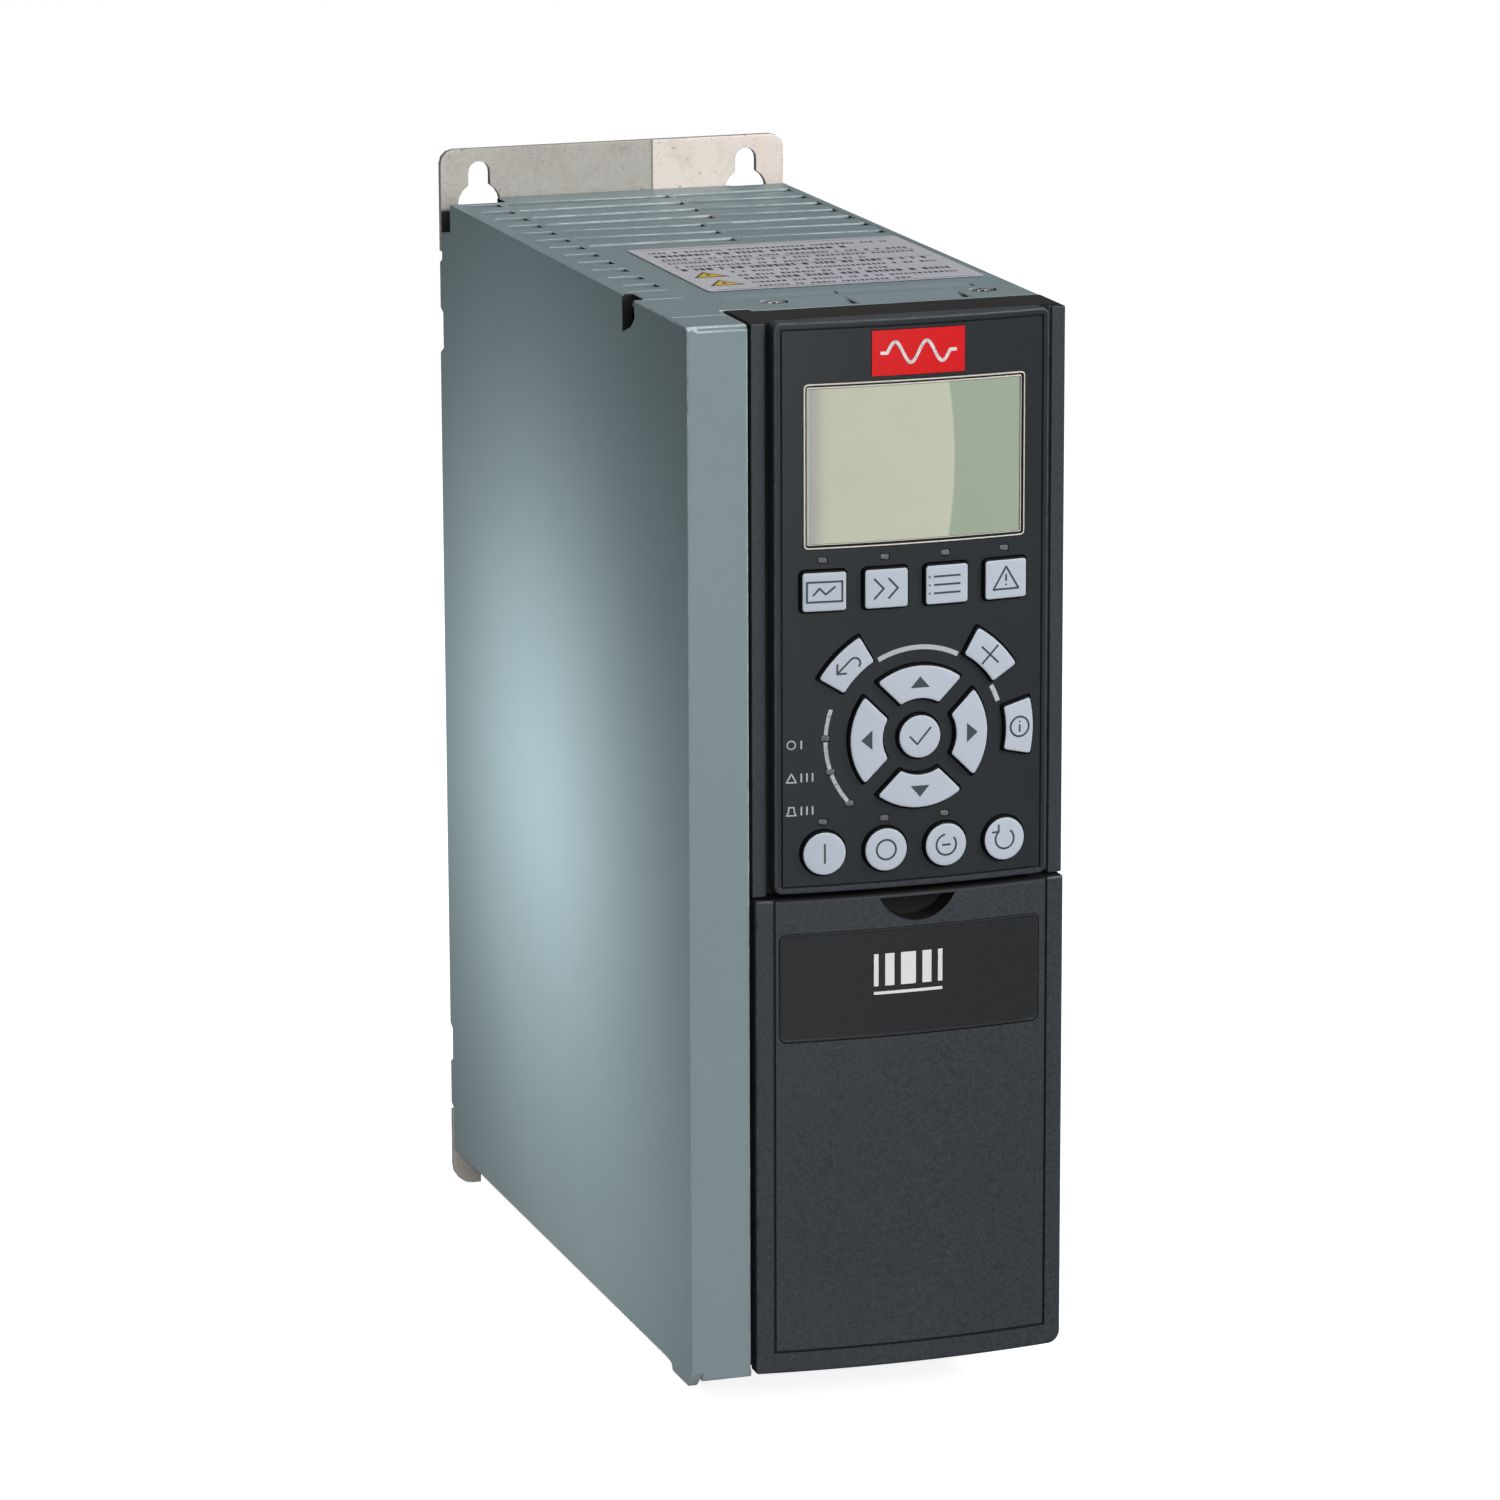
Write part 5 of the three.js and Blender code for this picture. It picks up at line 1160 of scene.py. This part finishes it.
def pulse_mark():
    """A generic train of pulses whose widths swell and shrink, over a thin line."""
    left, low, high = -2.2, COVER_LABEL[2] + 12, COVER_LABEL[2] + 19.6
    outlines = []
    x = left
    for width in (1.1, 2.2, 3.6, 2.2, 1.1):
        outlines.append([(x, low), (x + width, low), (x + width, high), (x, high)])
        x += width + 1.6
    outlines.append([(left, low - 2), (x - 1.6, low - 2), (x - 1.6, low - 1.3), (left, low - 1.3)])
    return outlines


# ------------------------------------------------------------------ body

def make_rating_label():
    bm = bmesh.new()
    low, high = place("rating_label")
    outline = rounded(low.x, high.x, low.y, high.y, 1.2)
    add_rings(bm, [[(x, y, z) for x, y in outline] for z in (low.z, high.z)])
    obj = finished("rating_label_shape", bm, [M["foil"]])
    smooth(obj)
    show(obj, "enclosure", "label_foil", "rating_label")
    return label_print(low, high)


def label_print(low, high):
    """Rows of short grey bars between ruled lines, and two warning triangles."""
    dice = random.Random(7)
    bm = bmesh.new()
    under, level = high.z - 0.05, high.z + 0.02

    def pad(outline, top, material=0):
        add_rings(bm, [[(x, y, z) for x, y in outline] for z in (under, top)], material=material)

    def bar(x0, x1, y0, y1):
        pad([(x0, y0), (x1, y0), (x1, y1), (x0, y1)], level)

    for row in range(LABEL_ROWS):
        y = low.y + 2.9 + row * LABEL_ROW_PITCH
        bold = row in BOLD_ROWS
        x = low.x + (13.5 if row < ROWS_BESIDE_TRIANGLES else 3.2)
        end = high.x - (4 if row % 3 else 17)
        while x < end:
            width = dice.uniform(0.4, 1.0) * (1.5 if bold else 1)
            bar(x, x + width, y, y + (2.7 if bold else 1.9))
            x += width + (0.5 if dice.random() < 0.8 else 1.9)
    for y in (low.y + 1.4, low.y + 31.8, low.y + 42.9, high.y - 2):
        bar(low.x + 2.4, high.x - 2.4, y - 0.12, y + 0.12)
    x = low.x + 7
    for y in (low.y + 10.5, low.y + 22.5):
        for inset, top, material in ((0, level, 0), (0.7, level + 0.01, 1)):
            half, base = 4.4 - inset * 1.6, y - 3.6 + inset
            pad([(x - half, base), (x + half, base), (x, y + 4 - inset * 1.7)], top, material)
        pad([(x - 0.5, y - 1.6), (x + 0.5, y - 1.6), (x + 0.2, y + 1.2), (x - 0.2, y + 1.2)],
            level + 0.02)
    obj = finished("rating_label_print", bm, [M["ink"], M["yellow"]])
    return show(obj, "enclosure", "label_foil")


def make_shell():
    """The grey housing with rounded edges, and painted near-black shade on the insides of its louvres
    and latch notch.
    """
    obj = copy_of("housing_shell", "housing_shell_shape", M["grey"])
    obj.data.materials.append(M["groove"])
    round_edges(obj, 0.5, 3, shortest=9)
    round_edges(obj, 0.12, 1, shortest=1.2, angle=60)
    top = SHELL_HIGH.z
    # painted shade: the louvres' end walls and the latch notch's insides get the near-black recess
    # shade
    paint_faces(obj, 1, lambda spot, normal: top - 2.6 < spot.z < top - 0.1
                and abs(normal.x) > 0.9 and SHELL_LOW.x + 3 < spot.x < SHELL_HIGH.x - 0.5)
    front, rear, depth = LATCH_NOTCH
    paint_faces(obj, 1, lambda spot, normal: top - depth < spot.z < top - 0.05
                and 0.05 < spot.x - SHELL_LOW.x < 2.6 and front < spot.y < rear)
    smooth(obj, square_faces_flat=True)
    return show(obj, "enclosure", "grey_plastic", "housing_shell")


def make_front_frame():
    """The black frame: grained rails, and painted near-black shade on its upward faces and on the face
    and pocket behind the panel.
    """
    obj = copy_of("front_frame", "front_frame_shape", M["black"])
    obj.data.materials.append(M["groove"])
    round_edges(obj, 0.35, 2)
    # painted shade: faces that lie deep behind the panel and faces that look up get the near-black
    # recess shade
    paint_faces(obj, 1, lambda spot, normal: spot.y - FRONT > 6 or normal.z > 0.7)
    smooth(obj)
    return show(obj, "enclosure", "black_plastic", "front_frame")


def make_ridges():
    """Low moulded ridges across the front of the housing's top."""
    bm = bmesh.new()
    top = SHELL_HIGH.z
    left = SHELL_LOW.x
    for x0, x1, y in ((left + 2, left + 11.5, -150.5), (left + 2, left + 11.5, -162),
                      (left + 0.8, left + 13.6, -187)):
        ring = [(0.45, -0.05), (0.3, 0.12), (0, 0.2), (-0.3, 0.12), (-0.45, -0.05)]
        add_rings(bm, [[(x, y + a, top + b) for a, b in ring] for x in (x0, x1)])
    obj = finished("top_ridges", bm, [M["grey"]])
    smooth(obj)
    return show(obj, "enclosure", "grey_plastic")


# node, finish, material slot, width of the rounded edges
BODY_PIECES = (
    ("mounting_plate", "zinc", "galvanised", 0.2),
    ("bottom_tray", "black", "black_plastic", 0.3),
    ("deck_screw_left", "steel", "steel", 0.25),
    ("deck_screw_right", "steel", "steel", 0.25),
    ("panel_socket", "connector", "connector_plastic", 0.2),
    ("heatsink", "aluminium", "aluminium", 0.2),
    ("fan_frame", "black", "black_plastic", 0.3),
    ("power_board", "board", "circuit_board", 0.15),
    ("power_module", "cream", "module_plastic", 0.6),
    ("inner_chassis", "black", "black_plastic", 0.3),
    ("dc_choke", "core", "core_steel", 0.4),
    ("filter_choke", "copper", "copper_wire", 0.5),
    ("inrush_relay", "cream", "module_plastic", 0.6),
    ("control_board", "board", "circuit_board", 0.15),
    ("terminal_base", "black", "black_plastic", 0.3),
    ("control_terminals_left", "green", "terminal_green", 0.2),
    ("control_terminals_right", "green", "terminal_green", 0.2),
    ("relay_terminals", "green", "terminal_green", 0.2),
    ("mains_terminals", "green", "terminal_green", 0.25),
    ("brake_terminals", "green", "terminal_green", 0.25),
    ("motor_terminals", "green", "terminal_green", 0.25),
    ("cable_clamp", "zinc", "galvanised", 0.2),
)


def make_body():
    make_shell()
    make_front_frame()
    make_ridges()
    make_rating_label()
    for node, finish, slot, width in BODY_PIECES:
        refined(node, M[finish], "enclosure", slot, width)
    for i in range(1, 5):
        make_capacitor(f"dc_capacitor_{i}")


def make_capacitor(node):
    """A can with a rolled bead, a sleeve edge and a scored vent."""
    low, high = place(node)
    centre = ((low.x + high.x) / 2, 0, (low.z + high.z) / 2)
    radius = (high.x - low.x) / 2
    y0, y1 = low.y, high.y
    profile = [(radius - 2.6, y0 + 0.25), (radius - 1.6, y0), (radius - 0.6, y0 + 0.2),
               (radius - 0.1, y0 + 0.9), (radius, y0 + 1.6), (radius, y1 - 6), (radius - 0.9, y1 - 4.8),
               (radius - 0.9, y1 - 4), (radius, y1 - 2.8), (radius, y1 - 0.6), (radius - 0.6, y1)]
    bm = bmesh.new()
    lathe(bm, profile, centre, "y", 56)
    for face in bm.faces:
        if len(face.verts) > 4 and face.calc_center_median().y < y0 + 1:
            face.material_index = 1
    obj = finished(node + "_shape", bm, [M["sleeve"], M["aluminium"]])
    scores = bmesh.new()
    for turn in (0, 60, 120):
        spots = turned([(-radius * 0.6, -0.25), (radius * 0.6, -0.25), (radius * 0.6, 0.25),
                        (-radius * 0.6, 0.25)], turn, centre[0], centre[2])
        prism(scores, spots, y0 - 1, y0 + 0.6)
    carve(obj, scores)
    smooth(obj)
    return show(obj, "enclosure", "capacitor_sleeve", node)


def make_terminal_metal(node, poles):
    """A slotted screw in each upper well of a terminal block, and a wire clamp in each lower one."""
    low, high = place(node)
    pitch = (high.x - low.x - 1.6) / poles
    reach = pitch * 0.3 - 0.15
    middle, lift = (low.z + high.z) / 2, (high.z - low.z) / 4
    y = low.y + 3
    bm = bmesh.new()
    slots = bmesh.new()
    for i in range(poles):
        x = low.x + 0.8 + pitch * (i + 0.5)
        lathe(bm, [(reach, y + 2.05), (reach, y + 0.3), (reach - 0.25, y), (reach * 0.4, y - 0.1)],
              (x, 0, middle + lift), "y", 24)
        block(slots, x - reach - 0.2, x + reach + 0.2, y - 0.5, y + 0.6,
              middle + lift - 0.2, middle + lift + 0.2)
        block(bm, x - reach, x + reach, y + 0.4, y + 2.05, middle - lift + reach * 0.3,
              middle - lift + reach)
        block(bm, x - reach, x + reach, y + 0.9, y + 2.05, middle - lift - reach,
              middle - lift - reach * 0.5)
    obj = finished(node + "_metal", bm, [M["steel"]])
    carve(obj, slots)
    soften(obj, 0.08, 1)
    smooth(obj)
    return show(obj, "enclosure", "steel")


def above(y, side, low, high):
    """The front and back Y of something that stands from low to high above a board's face."""
    return sorted((y + side * low, y + side * high))


def chip(bm, x, z, y, side):
    block(bm, x - 2.2, x + 2.2, *above(y, side, 0.15, 1.5), z - 1.6, z + 1.6)
    for i in range(4):
        leg = x - 1.65 + 1.1 * i
        for end in (-1, 1):
            z0, z1 = sorted((z + end * 1.5, z + end * 2.5))
            block(bm, leg - 0.2, leg + 0.2, *above(y, side, -0.02, 0.35), z0, z1, 1)


def resistors(bm, x, z, y, side):
    for i in range(3):
        here = z - 1.8 + 1.8 * i
        block(bm, x - 0.7, x + 0.7, *above(y, side, -0.02, 0.55), here - 0.5, here + 0.5)
        for end in (-1, 1):
            x0, x1 = sorted((x + end * 0.7, x + end * 1.1))
            block(bm, x0, x1, *above(y, side, -0.02, 0.6), here - 0.5, here + 0.5, 1)


def small_can(bm, x, z, y, side, height):
    profile = [(2.1, y + side * 0.02), (2.1, y + side * (height - 0.3)), (1.8, y + side * height)]
    lathe(bm, profile, (x, 0, z), "y", 24, 2)
    block(bm, x - 2.4, x + 2.4, *above(y, side, -0.02, 0.5), z - 2.4, z + 2.4)


def board_parts(board, body, side, room, seed, clear=(), height=5.0):
    """Chips, resistors and small cans soldered to one face of a board, laid out on a grid."""
    dice = random.Random(seed)
    low, high = place(board)
    y = low.y if side < 0 else high.y
    x0, x1, z0, z1 = room
    cell = BOARD_CELL
    bm = bmesh.new()
    for column in range(int((x1 - x0) / cell)):
        for row in range(int((z1 - z0) / cell)):
            x, z = x0 + cell * (column + 0.5), z0 + cell * (row + 0.5)
            kind = dice.random()
            if any(a < x < b and c < z < d for a, b, c, d in clear):
                continue
            if kind < 0.28:
                chip(bm, x, z, y, side)
            elif kind < 0.75:
                resistors(bm, x, z, y, side)
            elif kind < 0.87:
                small_can(bm, x, z, y, side, height)
    face = "front" if side < 0 else "rear"
    obj = finished(f"{board}_{face}_parts", bm, [M["connector"], M["steel"], M["sleeve"]])
    soften(obj, 0.1, 1)
    smooth(obj)
    return show(obj, body, "circuit_board")


def make_inside():
    """What the covers hide: parts on the boards, metal in the terminals, domes under the keys."""
    for node, poles in TERMINALS.items():
        make_terminal_metal(node, poles)
    board_parts("control_board", "enclosure", -1, (-38, 38, -8, 106), 3, [(-12, 27, 44, 66)])
    board_parts("control_board", "enclosure", 1, (-38, 38, -8, 112), 5)
    board_parts("power_board", "enclosure", -1, (-37, 37, -6, 36), 11, [(-8, 24, 2, 18)])
    board_parts("panel_board", "control_panel", 1, (-18.5, 33.5, -3, 114), 13, [(-10, 25, 45, 66)],
                height=3.5)
    make_domes()


def make_domes():
    """A shallow dome on the rubber mat under each key."""
    low, _ = place("keypad_mat")
    bm = bmesh.new()
    for name in KEYS:
        key_low, key_high = place(name)
        x, z = (key_low.x + key_high.x) / 2, (key_low.z + key_high.z) / 2
        lathe(bm, [(3.4, low.y + 0.1), (3.2, low.y - 0.05), (2.4, low.y - 0.2), (1.2, low.y - 0.25)],
              (x, 0, z), "y", 24)
    obj = finished("keypad_domes", bm, [M["rubber"]])
    smooth(obj)
    return show(obj, "control_panel", "silicone")


def make_fan():
    """The rotor: a capped hub with seven curved blades."""
    low, high = place("fan_rotor")
    y = (low.y + high.y) / 2
    tip = (high.x - low.x) / 2 - 0.1
    z0, z1 = low.z + 2.8, high.z
    bm = bmesh.new()
    lathe(bm, [(1.4, low.z), (1.4, z0), (12.4, z0), (13, z0 + 0.6), (13, z1 - 1.2), (12.6, z1 - 0.4),
               (11.6, z1), (6, z1), (5.6, z1 - 0.3)], (0, y, 0), "z", 56)
    obj = finished("fan_rotor_shape", bm, [M["connector"]])
    blades = bmesh.new()
    for i in range(7):
        fan_blade(blades, y, 360 * i / 7, 12.6, tip, (z0 + z1) / 2)
    carve(obj, blades, "UNION")
    smooth(obj)
    return show(obj, "fan", "black_plastic", "fan_rotor")


def fan_blade(bm, y, turn, inner, outer, middle):
    """One swept, twisted blade built from sections along its length."""
    rings = []
    for step in range(9):
        share = step / 8
        radius = inner + (outer - inner) * share
        pitch = math.radians(48 - 14 * share)
        chord = 15 + 3 * share
        sweep = math.radians(10 * share * share)
        ring = []
        for along, thick in ((-0.5, 0.15), (-0.2, 0.6), (0.1, 0.65), (0.4, 0.35), (0.5, 0.15),
                             (0.4, -0.35), (0.1, -0.45), (-0.2, -0.4)):
            bow = 0.9 * (0.25 - along * along)
            across = chord * along * math.cos(pitch) - (thick + bow) * math.sin(pitch)
            up = chord * along * math.sin(pitch) + (thick + bow) * math.cos(pitch)
            angle = math.radians(turn) + sweep + across / max(radius, 14)
            ring.append((radius * math.cos(angle), y + radius * math.sin(angle), middle + up))
        rings.append(ring)
    add_rings(bm, rings)


# ------------------------------------------------------------------ studio

def make_floor():
    bm = bmesh.new()
    level = PLATE_LOW.z - 0.3
    reach = 6000
    add_rings(bm, [[(-reach, -reach, level - 10), (reach, -reach, level - 10),
                    (reach, reach, level - 10), (-reach, reach, level - 10)],
                   [(-reach, -reach, level), (reach, -reach, level), (reach, reach, level),
                    (-reach, reach, level)]])
    floor = finished("floor", bm, [floor_material()])


def floor_material():
    """White paper to the camera, and a dim floor to everything that stands on it."""
    material, tree = new_material("pale_floor")
    shader = tree.nodes["Principled BSDF"]
    seen = put(tree, "LightPath").outputs["Is Camera Ray"]
    pale = use(tree, DRIFT, Color=linear(250, 250, 250), Size=400.0, Amount=0.004).outputs["Color"]
    tree.links.new(blended(tree, seen, linear(120, 120, 120), pale), shader.inputs["Base Color"])
    tree.links.new(pale, shader.inputs["Emission Color"])
    tree.links.new(ranged(tree, seen, 0.0, 1.0, 0.02, 0.86), shader.inputs["Emission Strength"])
    shader.inputs["Roughness"].default_value = 0.9
    return material


def area_light(name, spot, target, size, power, mirrored=True):
    light = bpy.data.lights.new(name, "AREA")
    light.shape = "RECTANGLE"
    light.size, light.size_y = size
    light.energy = power
    obj = bpy.data.objects.new(name, light)
    obj.location = spot
    aim = Vector(target) - Vector(spot)
    obj.rotation_euler = aim.to_track_quat("-Z", "Y").to_euler()
    obj.visible_camera = False
    obj.visible_glossy = mirrored
    bpy.context.scene.collection.objects.link(obj)
    return obj


def make_world():
    """A dim, even studio that the camera sees as plain white."""
    world = bpy.data.worlds.new("studio")
    bpy.context.scene.world = world
    world.use_nodes = True
    tree = world.node_tree
    seen = put(tree, "LightPath").outputs["Is Camera Ray"]
    up = put(tree, "SeparateXYZ", {0: put(tree, "TexCoord").outputs["Generated"]})
    level = ranged(tree, up.outputs[1], -1.0, 0.6, 0.33, 0.15, smoothly=True)
    left = ranged(tree, up.outputs[0], -0.7, 0.4, 0.05, 1.0, smoothly=True)
    strength = maths(tree, "MAXIMUM", seen, maths(tree, "MULTIPLY", level, left))
    back = tree.nodes["Background"]
    back.inputs["Color"].default_value = (1, 1, 1, 1)
    tree.links.new(strength, back.inputs["Strength"])


def make_lights():
    make_world()
    area_light("front_softbox", (-0.25, -1.9, 0.5), (0, -0.2, 0), (1.0, 1.0), 14)
    area_light("right_softbox", (1.3, -1.3, 1.0), (0, -0.15, 0), (0.5, 0.5), 20)
    area_light("side_softbox", (-0.145, -0.078, -0.008), (-0.045, -0.078, -0.008), (0.05, 0.05), 0.185,
               False)
    area_light("low_softbox", (-0.205, -0.14, -0.12), (-0.045, -0.14, -0.12), (0.1, 0.02), 0.11,
               False)
    area_light("top_softbox", (-0.1, 0.15, 1.2), (0, -0.1, 0), (0.7, 0.7), 4)
    bpy.context.scene.view_settings.view_transform = "Standard"


def make_camera():
    """The camera's place and turn, from the drive's own corners."""
    data = bpy.data.cameras.new("camera")
    data.lens = 163.66
    data.sensor_width = 36
    data.clip_start, data.clip_end = 0.05, 100
    camera = bpy.data.objects.new("camera", data)
    right = Vector((0.94865745, -0.31628952, -0.0031593))
    up = Vector((0.07565297, 0.21718753, 0.97319382))
    ahead = Vector((0.30712484, 0.92346658, -0.22996481))
    turn = Matrix((right, up, -ahead)).transposed()
    camera.matrix_world = Matrix.Translation((-0.50360, -1.62339, 0.37837)) @ turn.to_4x4()
    bpy.context.scene.collection.objects.link(camera)
    bpy.context.scene.camera = camera


make_camera()
make_lights()
make_floor()
make_body()
make_inside()
make_fan()
make_panel()
make_cover()
make_cover_label()
